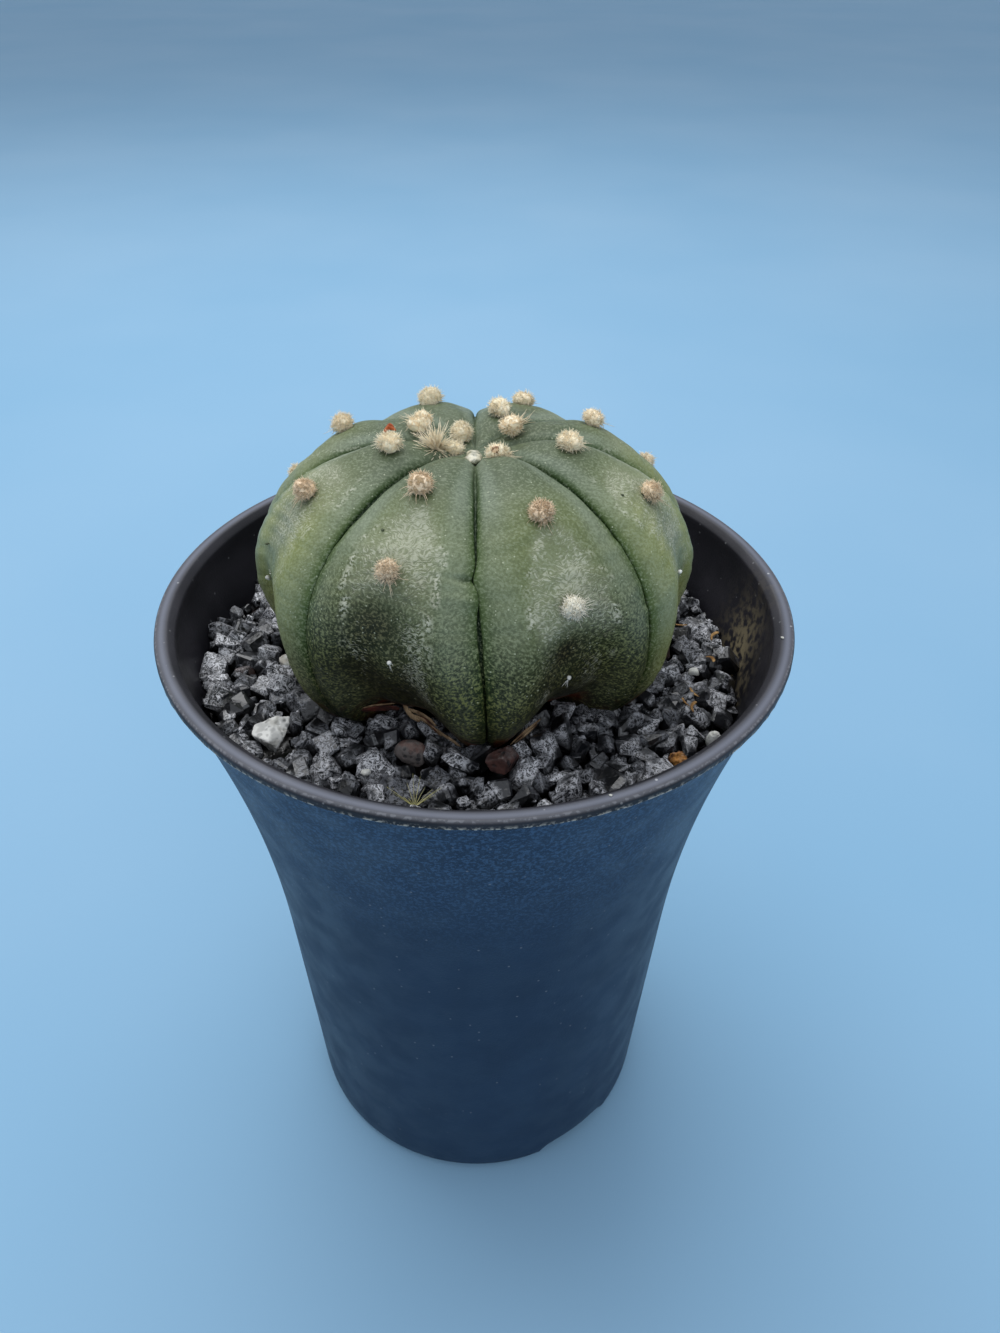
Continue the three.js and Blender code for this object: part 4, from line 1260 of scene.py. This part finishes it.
def add_crown(shape, web, look, draw):
    """The crown's wool: a brush of long straw hairs, a cream clump, a smooth tall dome, a glassy web, and a
    tuft whose middle is brown."""
    thickness = look.hair_thickness / MM / 2
    crest = spline(CREST_LINE, np.linspace(0, 0.3, 200))
    axes = planted(np.array([[-1.0, 0, 0], [0, -1, 0], [0, 0, 1]]), shift=False)
    cream = {"tan": 0.0, "bleach": 0.0, "mottle": 0.3}
    straw = {"tan": 0.1, "bleach": 0.0, "mottle": 0.25}
    brown = {"tan": 1.0, "bleach": 0.0, "mottle": 0.9}
    places = []
    for x, y in CROWN_TUFTS:
        height = np.interp(np.hypot(x, y), crest[:, 0], crest[:, 1])
        places.append(planted(np.array([x, y, height])))
    brush, clump, dome, film, ring = places

    middle = brush - axes[2] * 0.2
    add_cushion(shape, middle, axes, np.array([1.1, 0.9, 0.8]), 0, straw)
    aims = unit(draw.normal(scale=0.65, size=(BRUSH_HAIRS, 3)) + [0.3, 0.15, 0.45])
    lengths = draw.uniform(1.4, 3.6, BRUSH_HAIRS)
    add_hairs(shape, middle, axes, aims * 0.8, aims, lengths, 0.08, 0.2, straw, draw)

    add_tuft(shape, clump + axes[2] * 0.3, axes, [1.3, 1.0, 0.95], 0, look.hairs, 0.7, thickness, cream, draw)
    add_tuft(shape, dome + axes[2] * 0.9, axes, [1.4, 1.3, 1.75], 0, look.hairs, 0.5, thickness, cream, draw)

    at = ring + axes[2] * 0.4 - axes[0] * 0.8
    add_tuft(shape, at, axes, [1.6, 1.3, 1.2], 0, look.hairs, 0.65, thickness, cream, draw)
    eye = at + axes[2] * 0.8 + axes[1] * 0.5 + axes[0] * 0.3
    add_tuft(shape, eye, axes, [0.7, 0.55, 0.6], 0, 40, 0.4, thickness, brown, draw)
    add_wisps(shape, at, axes, [1.6, 1.4, 1.0], 40, -35, 2.4, 0.06, cream, draw)

    add_cushion(web, film + axes[2] * 0.1, axes, np.array([1.3, 1.9, 0.65]), 0, {})


# Grit


def grit_level(x, y):
    """Height of the dressing: level, lower towards the right, heaped against the stem's foot and most of all
    against its front."""
    drop = GRIT_DROP * ease(x, 18, 44)
    heap = HEAP_HEIGHT * (1 - ease(np.hypot(x, y), HEAP_TO, HEAP_FROM))
    return GRIT_LEVEL - drop + heap + GRIT_MOUND * bell(np.hypot(x - 2, y + 30), MOUND_SPREAD)


def stem_radius_at(azimuth, height):
    """The stem's radius at an azimuth and a height below its widest part, measured from the pot's axis: the
    greatest in each cell of a table of sectors and levels, or the neighbour's where a cell is empty."""
    share = np.linspace(0.6, 0.95, 60)[:, None]
    turn = np.linspace(0, RIBS, RIBS * 24, endpoint=False)[None, :]
    turn, share = np.broadcast_arrays(turn, share)
    radius, angle, level, _ = stem_surface(turn, share)
    x, y, z = planted(around(radius, angle, level)).reshape(-1, 3).T
    levels = np.linspace(GRIT_LEVEL - 5, GRIT_LEVEL + 8, 27)
    sectors = 96

    def cell(angle, height):
        layer = np.round((height - levels[0]) / (levels[1] - levels[0])).astype(int)
        sector = ((angle + np.pi) / (2 * np.pi) * sectors).astype(int) % sectors
        return sector, np.clip(layer, 0, len(levels) - 1)

    table = np.zeros((sectors, len(levels)))
    np.maximum.at(table, cell(np.arctan2(x, -y), z), np.hypot(x, y))
    table = np.maximum(np.roll(table, 1, axis=0) * (table == 0), table)
    return table[cell(azimuth, height)]


def block_faces():
    """The corners and faces of a bevelled block of 24 points, three beside each corner: six sides, twelve
    edges and eight corners, all turned outward."""
    corners = np.array(list(np.ndindex(2, 2, 2))) * 2 - 1
    bevelled = np.where(np.tile(np.eye(3), (8, 1)) == 1, 1, 0.7)
    points = np.repeat(corners, 3, axis=0) * bevelled
    square = ((-1, -1), (1, -1), (1, 1), (-1, 1))

    def point(axis, values, beside):
        """The number of the point beside a corner along one axis, its values counted from an axis."""
        signs = np.roll(values, axis)
        return 3 * int((signs + 1) @ [2, 1, 0.5]) + beside

    quads = []
    for axis in range(3):
        b, c = (axis + 1) % 3, (axis + 2) % 3
        for end in (-1, 1):
            quads.append([point(axis, (end, *pair), axis) for pair in square])
        for pair in square:
            ends = ((-1, b), (1, b), (1, c), (-1, c))
            quads.append([point(axis, (end, *pair), beside) for end, beside in ends])

    def outward(faces):
        faces = np.array(faces)
        at = points[faces]
        facing = np.cross(at[:, 1] - at[:, 0], at[:, 2] - at[:, 0])
        inward = np.einsum("ij,ij->i", facing, at.mean(axis=1)) < 0
        return np.where(inward[:, None], faces[:, ::-1], faces)

    return corners, outward(quads), outward(np.arange(24).reshape(8, 3))


def crushed_grains(centres, sizes, draw):
    """Crushed grains: bevelled blocks whose eight corners are each drawn in at random. A point of a block is
    its corners' mean, weighted by how near it lies to each along the three axes."""
    corners, quads, triangles = block_faces()
    count = len(centres)
    pulled = corners * draw.uniform(0.5, 1.0, (count, 8, 3)) + draw.normal(scale=0.12, size=(count, 8, 3))
    bevel = draw.uniform(0.12, 0.42, (count, 8, 1, 1))
    own = np.eye(3) == 1
    local = corners[None, :, None, :] * np.where(own, 1.0, 1 - bevel)
    near = (1 + local[:, :, :, None, :] * corners) / 2
    weight = np.prod(near, axis=-1)
    points = np.einsum("nkjc,ncd->nkjd", weight, pulled).reshape(count, 24, 3)
    flat = np.stack([np.ones(count), draw.uniform(0.72, 1, count), draw.uniform(0.55, 0.85, count)], axis=-1)
    points = points * (flat * sizes[:, None])[:, None, :]
    points = np.einsum("nij,nkj->nki", random_turns(count, draw), points) + centres[:, None]
    shift = (np.arange(count) * 24)[:, None, None]
    return points.reshape(-1, 3), [(quads + shift).reshape(-1, 4), (triangles + shift).reshape(-1, 3)]


def make_grains(look, material):
    """Grains on golden-angle spirals: a full top layer, one below it and small ones between, none inside the
    stem, the wall or a loose stone. They lie lower in the hollows under the front ribs' arches."""
    draw = np.random.default_rng(3)
    size = look.grain_size / MM / 2
    layers = [
        (look.top_grains, size, 0.25, 0.9),
        (look.under_grains, size * 0.9, -1.7, 0.8),
        (look.small_grains, size * 0.5, 0.1, 1.2),
    ]
    shape = Shape()
    for number, (count, half, lift, spread) in enumerate(layers):
        share = (np.arange(count) + 0.5) / count
        radius = np.sqrt(blend(GRAIN_INNER**2, GRAIN_OUTER**2, share))
        azimuth = np.arange(count) * GOLDEN_ANGLE + number
        place = around(radius, azimuth, 0.0)[:, :2] + draw.uniform(-spread, spread, (count, 2))
        sizes = half * draw.uniform(0.72, 1.28, count)
        x, y = place.T
        z = grit_level(x, y) + lift + 0.5 * noise(np.stack([x, y, 0 * x], axis=-1), 6, 51)
        z += draw.uniform(-0.35, 0.35, count)
        out = np.hypot(x, y)
        angle = np.arctan2(x, -y)
        gap = out - stem_radius_at(angle, z + 0.3)
        past_crest = out - stem_radius_at(angle, z + 4)
        hollow = bell(np.abs(np.degrees(angle)) - ARCH_MIDDLE, 9) * (1 - ease(past_crest, -0.5, 2.5))
        z -= HOLLOW_DEPTH * hollow
        keep = (gap > blend(-0.1, 0.25, hollow) * sizes) & (out + 0.8 * sizes < inner_radius(z))
        for at, stone_half, *_ in STONES.values():
            keep &= np.hypot(x - at[0], y - at[1]) > 0.8 * max(stone_half[:2]) + 0.55 * sizes
        centres, sizes = np.stack([x, y, z], axis=-1)[keep], sizes[keep]
        points, faces = crushed_grains(centres, sizes, draw)
        tone = draw.uniform(0, 1, len(centres))
        red = (draw.uniform(0, 1, len(centres)) < look.red_share) * 0.7
        level, sizes, tone, red = np.repeat([centres[:, 2], sizes, tone, red], 24, axis=1)
        # rise darkens each grain towards its foot: painted shade between grains
        shape.add(points, faces, tone=tone, red=red, rise=(points[:, 2] - level) / sizes)
    fit(shape.piece("grit_grains", material, smooth=False), "grit")


def make_bed(material):
    """The bed under the grains, black with the grains' painted gap shade: a disc whose top follows the
    dressing's level, with lumps.
    """
    radius = np.concatenate([[0], np.linspace(10, 44.5, 60)])[:, None]
    azimuth = np.linspace(0, 2 * np.pi, 160, endpoint=False)[None, :]
    radius, azimuth = np.broadcast_arrays(radius, azimuth)
    flat = around(radius, azimuth, 0.0)
    level = grit_level(flat[..., 0], flat[..., 1]) - 2.6 + 0.8 * noise(flat, 2.6, 52)
    top = around(np.minimum(radius, inner_radius(level) - 0.25), azimuth, level)[::-1]
    foot = [around(edge, azimuth[0], BED_BOTTOM) for edge in (0, inner_radius(BED_BOTTOM) - 0.3)]
    bed = Shape()
    # The bed is all the black of the painted gap shade
    bed.add_rings(np.concatenate([np.array(foot), top]), tone=0.1, red=0.0, rise=-1.0)
    fit(bed.piece("grit_bed", material), "grit")


def make_grit(look):
    """The dressing: its grains and the bed under them, of one material."""
    material = lava_grit(look)
    make_grains(look, material)
    make_bed(material)


# Loose stones


def rock(centre, half, planes, hardness, roughness, seed, rows=48, columns=72):
    """A stone: its radius in each direction is where that direction meets the nearest of a few planes,
    softened at their joins by a power mean of the given hardness, times noise of three sizes."""
    draw = np.random.default_rng(seed)
    polar = np.linspace(np.pi, 0, rows)[:, None]
    azimuth = np.linspace(0, 2 * np.pi, columns, endpoint=False)
    ball = around(np.sin(polar), azimuth, np.cos(polar))
    faces = unit(sphere_directions(planes) + draw.normal(scale=0.25, size=(planes, 3)))
    depth = draw.uniform(0.82, 1.05, planes)
    meets = np.maximum(0, ball @ faces.T) / depth
    radius = (meets**hardness).sum(axis=-1) ** (-1 / hardness)
    shape = ball * radius[..., None]
    rough = 0.06 * noise(shape, 0.7, seed)
    rough = rough + 0.035 * noise(shape, 0.3, seed + 1) + 0.02 * noise(shape, 0.12, seed + 2)
    shape = (shape * (1 + roughness * rough)[..., None]) @ random_turns(1, draw)[0].T
    return shape / np.abs(shape).max(axis=(0, 1)) * np.array(half) + np.array(centre)


def make_stones():
    """The odd stones that lie on the grit, each with its own form and finish."""
    for seed, (name, ((x, y), half, sunk, form, tones, finish, slot)) in enumerate(STONES.items()):
        centre = (x, y, grit_level(x, y) + half[2] * (0.55 - sunk) + 0.5)
        shape = Shape()
        shape.add_rings(rock(centre, half, *form, STONE_SEED + seed))
        material = weathered_stone(name, *(colour(*tone) for tone in tones), *finish)
        fit(shape.piece(name + "_fine", material), name)


# Small finds: dried scraps on the plant and odd bits on the grit


def strip(path, across, width, thickness):
    """A flat closed strip along a path. Each cross-section is an ellipse, as wide as the width in the
    direction across, and as deep as the thickness. The ends are narrowed."""
    share = np.linspace(0, 1, 9)
    line = spline(path, share)
    along = unit(np.gradient(line, axis=0))
    across = np.array(across, float)
    aside = unit(across - along * (along @ across)[:, None])
    upright = np.cross(along, aside)
    angle = np.arange(8) * np.pi / 4
    taper = (0.25 + 0.75 * np.sin(np.pi * share) ** 0.6)[:, None, None]
    wide = aside[:, None] * np.cos(angle)[:, None] * width / 2
    deep = upright[:, None] * np.sin(angle)[:, None] * thickness / 2
    rings = line[:, None] + (wide + deep) * taper
    return rings + 0.06 * noise(rings, 0.5, 71)[..., None]


def add_fan(shape, root, aims, lengths, bend, thickness):
    """Thin stalks that leave one root: a stalk's middle at a share s is root + length (aim s + bend s^2)."""
    along = np.linspace(0, 1, 7)[None, :, None]
    aims, lengths = unit(np.array(aims, float)), np.array(lengths, float)
    curved = aims[:, None] * along + np.array(bend) * along**2
    paths = np.array(root, float) + lengths[:, None, None] * curved
    widths = thickness / 2 * blend(1.0, 0.3, along[..., 0]) * np.ones((len(aims), 1))
    points, faces, _ = tubes(paths, widths, 4)
    shape.add(points, faces)


def make_finds():
    """Corked rind under the front arches, a withered flower, white dots and tails, scars, straw, husks and
    crumbs, each in the piece of the part that it lies on."""
    shapes = {name: Shape() for name in FINDS}
    for name, strips in STRIPS.items():
        for path in strips:
            shapes[name].add_rings(strip(*path))
    for name, (form, planes, hardness, seed, rows, columns, places) in CRUMBS.items():
        for number, (place, radius) in enumerate(places):
            half = radius * np.array(form)
            shapes[name].add_rings(rock(place, half, planes, hardness, 2.0, seed + number, rows, columns))
    for root, aims in DOT_TAILS:
        lengths = [0.9 + 0.2 * i for i in range(len(aims))]
        add_fan(shapes["white_dots"], root, aims, lengths, (0, 0, -0.2), 0.12)
    spread = np.linspace(-1.15, 1.25, 12)
    aims = np.stack([np.sin(spread), 0.75 * np.cos(spread), 0.5 + 0.2 * np.cos(5 * spread)], axis=-1)
    add_fan(shapes["straw"], STRAW_ROOT, aims, 4.2 + 0.9 * np.cos(7 * spread), (0, 0, -0.12), 0.13)
    draw = np.random.default_rng(17)
    for place in HUSK_PLACES:
        turn = draw.uniform(0, 2 * np.pi)
        reach = np.array([np.cos(turn), np.sin(turn), 0.25])
        side = np.array([-np.sin(turn), np.cos(turn), 0.3])
        at = np.array(place)
        path = [at - reach, at + 0.4 * side, at + reach, at + 1.2 * reach - 0.4 * side]
        shapes["husks"].add_rings(strip(path, side, 0.55, 0.16))
    dry = {name: dry_husk(name, colour(*dark), colour(*light)) for name, (dark, light) in DRY_COLOURS.items()}
    for name, (material, node) in FINDS.items():
        fit(shapes[name].piece(name, dry[material]), node)


def finish_soil():
    """The potting mix keeps its solid and gets its material."""
    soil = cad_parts["soil"]
    soil.data.materials.clear()
    soil.data.materials.append(potting_mix())


# Stage


def place_camera():
    """The photograph's camera: turned by the yaw, tipped down by the pitch and rolled about its own axis."""
    data = bpy.data.cameras.new("photo_camera")
    data.sensor_width = SENSOR
    data.lens = FOCAL_PIXELS / PHOTO_HEIGHT * SENSOR
    camera = bpy.data.objects.new("photo_camera", data)
    yaw, pitch, roll = np.radians([CAMERA_YAW, CAMERA_PITCH, CAMERA_ROLL])
    turn = Matrix.Rotation(-yaw, 4, "Z") @ Matrix.Rotation(np.pi / 2 - pitch, 4, "X")
    camera.matrix_world = Matrix.Translation(CAMERA_PLACE) @ turn @ Matrix.Rotation(-roll, 4, "Z")
    bpy.context.scene.collection.objects.link(camera)
    bpy.context.scene.camera = camera


def area_light(name, place, target, size, power, tint):
    """A square soft light that faces its target."""
    data = bpy.data.lights.new(name, "AREA")
    data.size = size
    data.energy = power
    data.color = tint
    light = bpy.data.objects.new(name, data)
    aim = Vector(target) - Vector(place)
    light.matrix_world = Matrix.Translation(place) @ aim.to_track_quat("-Z", "Y").to_matrix().to_4x4()
    bpy.context.scene.collection.objects.link(light)


def make_stage(look):
    """A wide pale floor, a pale sky and soft lights from above."""
    floor = Shape()
    azimuth = np.linspace(0, 2 * np.pi, 96, endpoint=False)
    rings = [around(r, azimuth, z) for r, z in ((0, -8), (9000, -8), (9000, 0), (300, 0), (0, 0))]
    floor.add_rings(np.array(rings))
    floor.piece("studio_floor", studio_floor(look), smooth=False)
    world = bpy.data.worlds.new("pale_sky")
    world.use_nodes = True
    sky = world.node_tree.nodes["Background"]
    plug(sky.inputs["Color"], look.sky_colour)
    sky.inputs["Strength"].default_value = look.sky_strength
    bpy.context.scene.world = world
    area_light("overhead", (-0.15, 0.35, 0.9), (0, 0, 0.1), 0.9, look.light_power, (1, 1, 1))
    area_light("front_fill", (0.3, -0.8, 0.5), (0, 0, 0.07), 0.7, look.light_power * 0.22, (0.85, 0.93, 1))
    view = bpy.context.scene.view_settings
    view.view_transform = "Standard"
    view.exposure = look.exposure
    place_camera()


# Settings


def colour_setting(name, description, red, green, blue):
    default = colour(red, green, blue)
    return FloatVectorProperty(
        name=name, description=description, subtype="COLOR", min=0, max=1, default=default
    )


def length_setting(name, description, millimetres):
    return FloatProperty(name=name, description=description, default=millimetres * MM, min=0, unit="LENGTH")


def number_setting(name, description, default, **limits):
    kind = IntProperty if isinstance(default, int) else FloatProperty
    return kind(name=name, description=description, default=default, **limits)


class PotLook(bpy.types.PropertyGroup):
    segments: number_setting("Segments", "Sides of the pot's rings", 240, min=48)
    # The outer wall's blue is partly the plastic and partly a painted reflection of the blue floor
    outside_colour: colour_setting("Outside", "Plastic of the outer wall", 26, 47, 71)
    inside_colour: colour_setting("Inside", "Plastic of the inner wall", 42, 41, 47)
    lip_colour: colour_setting("Lip", "Plastic of the lip", 96, 100, 112)
    roughness: number_setting("Roughness", "Least roughness of the plastic", 0.4)


class StemLook(bpy.types.PropertyGroup):
    columns_per_rib: number_setting("Columns per rib", "Grid columns on each rib", 38)
    rows: number_setting("Rows", "Grid rows on the part above the grit", 270)
    visible_share: number_setting("Visible share", "Share of the meridian that stands above the grit", 0.88)
    groove_cut: length_setting("Groove cut", "Depth of the narrow cut along each groove", 1.5)
    kink_descent: length_setting("Kink", "How far down the front groove its kink lies", 28.8)
    crown_colour: colour_setting("Crown", "Skin on the crown", 82, 94, 68)
    middle_colour: colour_setting("Middle", "Skin half way down", 110, 120, 82)
    # Skin near the grit: partly its real darker colour, partly painted shade
    lower_colour: colour_setting("Lower skin", "Skin near the grit", 35, 39, 11)
    sallow_colour: colour_setting("Sallow skin", "Yellowed skin on the side ribs", 138, 144, 78)
    # Dark crests: partly the real olive-black skin, partly painted shade
    shade_colour: colour_setting("Dark crests", "Olive-black skin on the lower crests", 21, 20, 9)
    # Skin beside the grooves: partly its deeper green, partly painted shade in the valleys
    groove_colour: colour_setting("Groove skin", "Skin beside the grooves", 44, 74, 26)
    # Waxy grey of the flanks: partly real wax, partly a painted sheen reflecting the sky
    bloom_colour: colour_setting("Bloom", "Waxy bloom on the flanks", 126, 138, 122)
    scurf_colour: colour_setting("Scurf", "White scurf on the crests", 206, 206, 188)
    roughness: number_setting("Roughness", "Mean roughness of the skin", 0.5)


class WoolLook(bpy.types.PropertyGroup):
    tuft_radius: length_setting("Tuft radius", "Half the width of a woolly areole", 2)
    hair_thickness: length_setting("Hair thickness", "Thickness of a hair at its root", 0.12)
    hairs: number_setting("Hairs", "Hairs on each tuft", 460)
    young_colour: colour_setting("Young wool", "Wool of the crown and the upper areoles", 255, 246, 218)
    old_colour: colour_setting("Old wool", "Wool of the lower areoles", 246, 212, 176)


class GritLook(bpy.types.PropertyGroup):
    grain_size: length_setting("Grain size", "Mean width of a grain", 4.6)
    top_grains: number_setting("Top grains", "Places in the top layer", 520)
    under_grains: number_setting("Under grains", "Places in the layer below", 480)
    small_grains: number_setting("Small grains", "Places of the small grains", 520)
    red_share: number_setting("Reddish share", "Share of reddish grains", 0.015)
    # Bright crust of the grains: partly real, partly a painted sheen of the sky
    crust_and_sheen_colour: colour_setting("CrustAndSheen", "Bright crust of the grains", 230, 231, 236)
    # Black low on the grains and on the bed: painted shade in the gaps between grains
    gap_shade_colour: colour_setting("Black faces", "Black of the grains", 7, 7, 8)


class StageLook(bpy.types.PropertyGroup):
    floor_colour: colour_setting("Floor", "Blue floor", 124, 169, 200)
    sky_colour: colour_setting("Sky", "Light from all round", 226, 232, 242)
    sky_strength: number_setting("Sky strength", "Strength of that light", 0.75)
    light_power: number_setting("Light", "Overhead light", 7.5, unit="POWER")
    exposure: number_setting("Exposure", "Brightness of the picture, in stops", 0.0)


# Operators


class BuildPot(bpy.types.Operator):
    """Builds the pot"""

    bl_idname = "cactus.build_pot"
    bl_label = "Pot"

    def execute(self, context):
        make_pot(context.scene.cactus_pot)
        return {"FINISHED"}


class BuildSoil(bpy.types.Operator):
    """Finishes the potting mix under the grit"""

    bl_idname = "cactus.build_soil"
    bl_label = "Potting mix"

    def execute(self, context):
        finish_soil()
        return {"FINISHED"}


class BuildStem(bpy.types.Operator):
    """Builds the ribbed stem"""

    bl_idname = "cactus.build_stem"
    bl_label = "Stem"

    def execute(self, context):
        make_stem(context.scene.cactus_stem)
        return {"FINISHED"}


class BuildWool(bpy.types.Operator):
    """Builds the woolly areoles and the crown's wool"""

    bl_idname = "cactus.build_wool"
    bl_label = "Wool"

    def execute(self, context):
        make_wool(context.scene.cactus_wool)
        return {"FINISHED"}


class BuildGrit(bpy.types.Operator):
    """Builds the lava grit"""

    bl_idname = "cactus.build_grit"
    bl_label = "Grit"

    def execute(self, context):
        make_grit(context.scene.cactus_grit)
        return {"FINISHED"}


class BuildStones(bpy.types.Operator):
    """Builds the loose stones on the grit"""

    bl_idname = "cactus.build_stones"
    bl_label = "Stones"

    def execute(self, context):
        make_stones()
        return {"FINISHED"}


class BuildFinds(bpy.types.Operator):
    """Builds the dried scraps and the odd bits on the grit"""

    bl_idname = "cactus.build_finds"
    bl_label = "Small finds"

    def execute(self, context):
        make_finds()
        return {"FINISHED"}


class BuildStage(bpy.types.Operator):
    """Builds the floor, the lights and the camera"""

    bl_idname = "cactus.build_stage"
    bl_label = "Stage"

    def execute(self, context):
        make_stage(context.scene.cactus_stage)
        return {"FINISHED"}


BUILDERS = (BuildPot, BuildSoil, BuildStem, BuildWool, BuildGrit, BuildStones, BuildFinds, BuildStage)
LOOKS = {
    "cactus_pot": PotLook,
    "cactus_stem": StemLook,
    "cactus_wool": WoolLook,
    "cactus_grit": GritLook,
    "cactus_stage": StageLook,
}


class CactusPanel(bpy.types.Panel):
    """Lists the cactus's settings and its builders"""

    bl_idname = "VIEW3D_PT_cactus"
    bl_label = "Potted cactus"
    bl_space_type = "VIEW_3D"
    bl_region_type = "UI"
    bl_category = "Cactus"

    def draw(self, context):
        for builder in BUILDERS:
            self.layout.operator(builder.bl_idname)
        for name, kind in LOOKS.items():
            box = self.layout.box()
            box.label(text=name.replace("cactus_", "").title())
            for setting in kind.__annotations__:
                box.prop(getattr(context.scene, name), setting)


def register():
    for kind in (*LOOKS.values(), *BUILDERS, CactusPanel):
        bpy.utils.register_class(kind)
    for name, kind in LOOKS.items():
        setattr(bpy.types.Scene, name, PointerProperty(type=kind))


def unregister():
    for name in LOOKS:
        delattr(bpy.types.Scene, name)
    for kind in reversed((*LOOKS.values(), *BUILDERS, CactusPanel)):
        bpy.utils.unregister_class(kind)


def main():
    register()
    for make in (make_mottle, make_flecks, make_pitted, make_dust, make_crust_and_sheen):
        make()
    bpy.ops.cactus.build_stage()
    bpy.ops.cactus.build_pot()
    bpy.ops.cactus.build_soil()
    bpy.ops.cactus.build_stem()
    bpy.ops.cactus.build_wool()
    bpy.ops.cactus.build_grit()
    bpy.ops.cactus.build_stones()
    bpy.ops.cactus.build_finds()


if __name__ == "__main__":
    main()
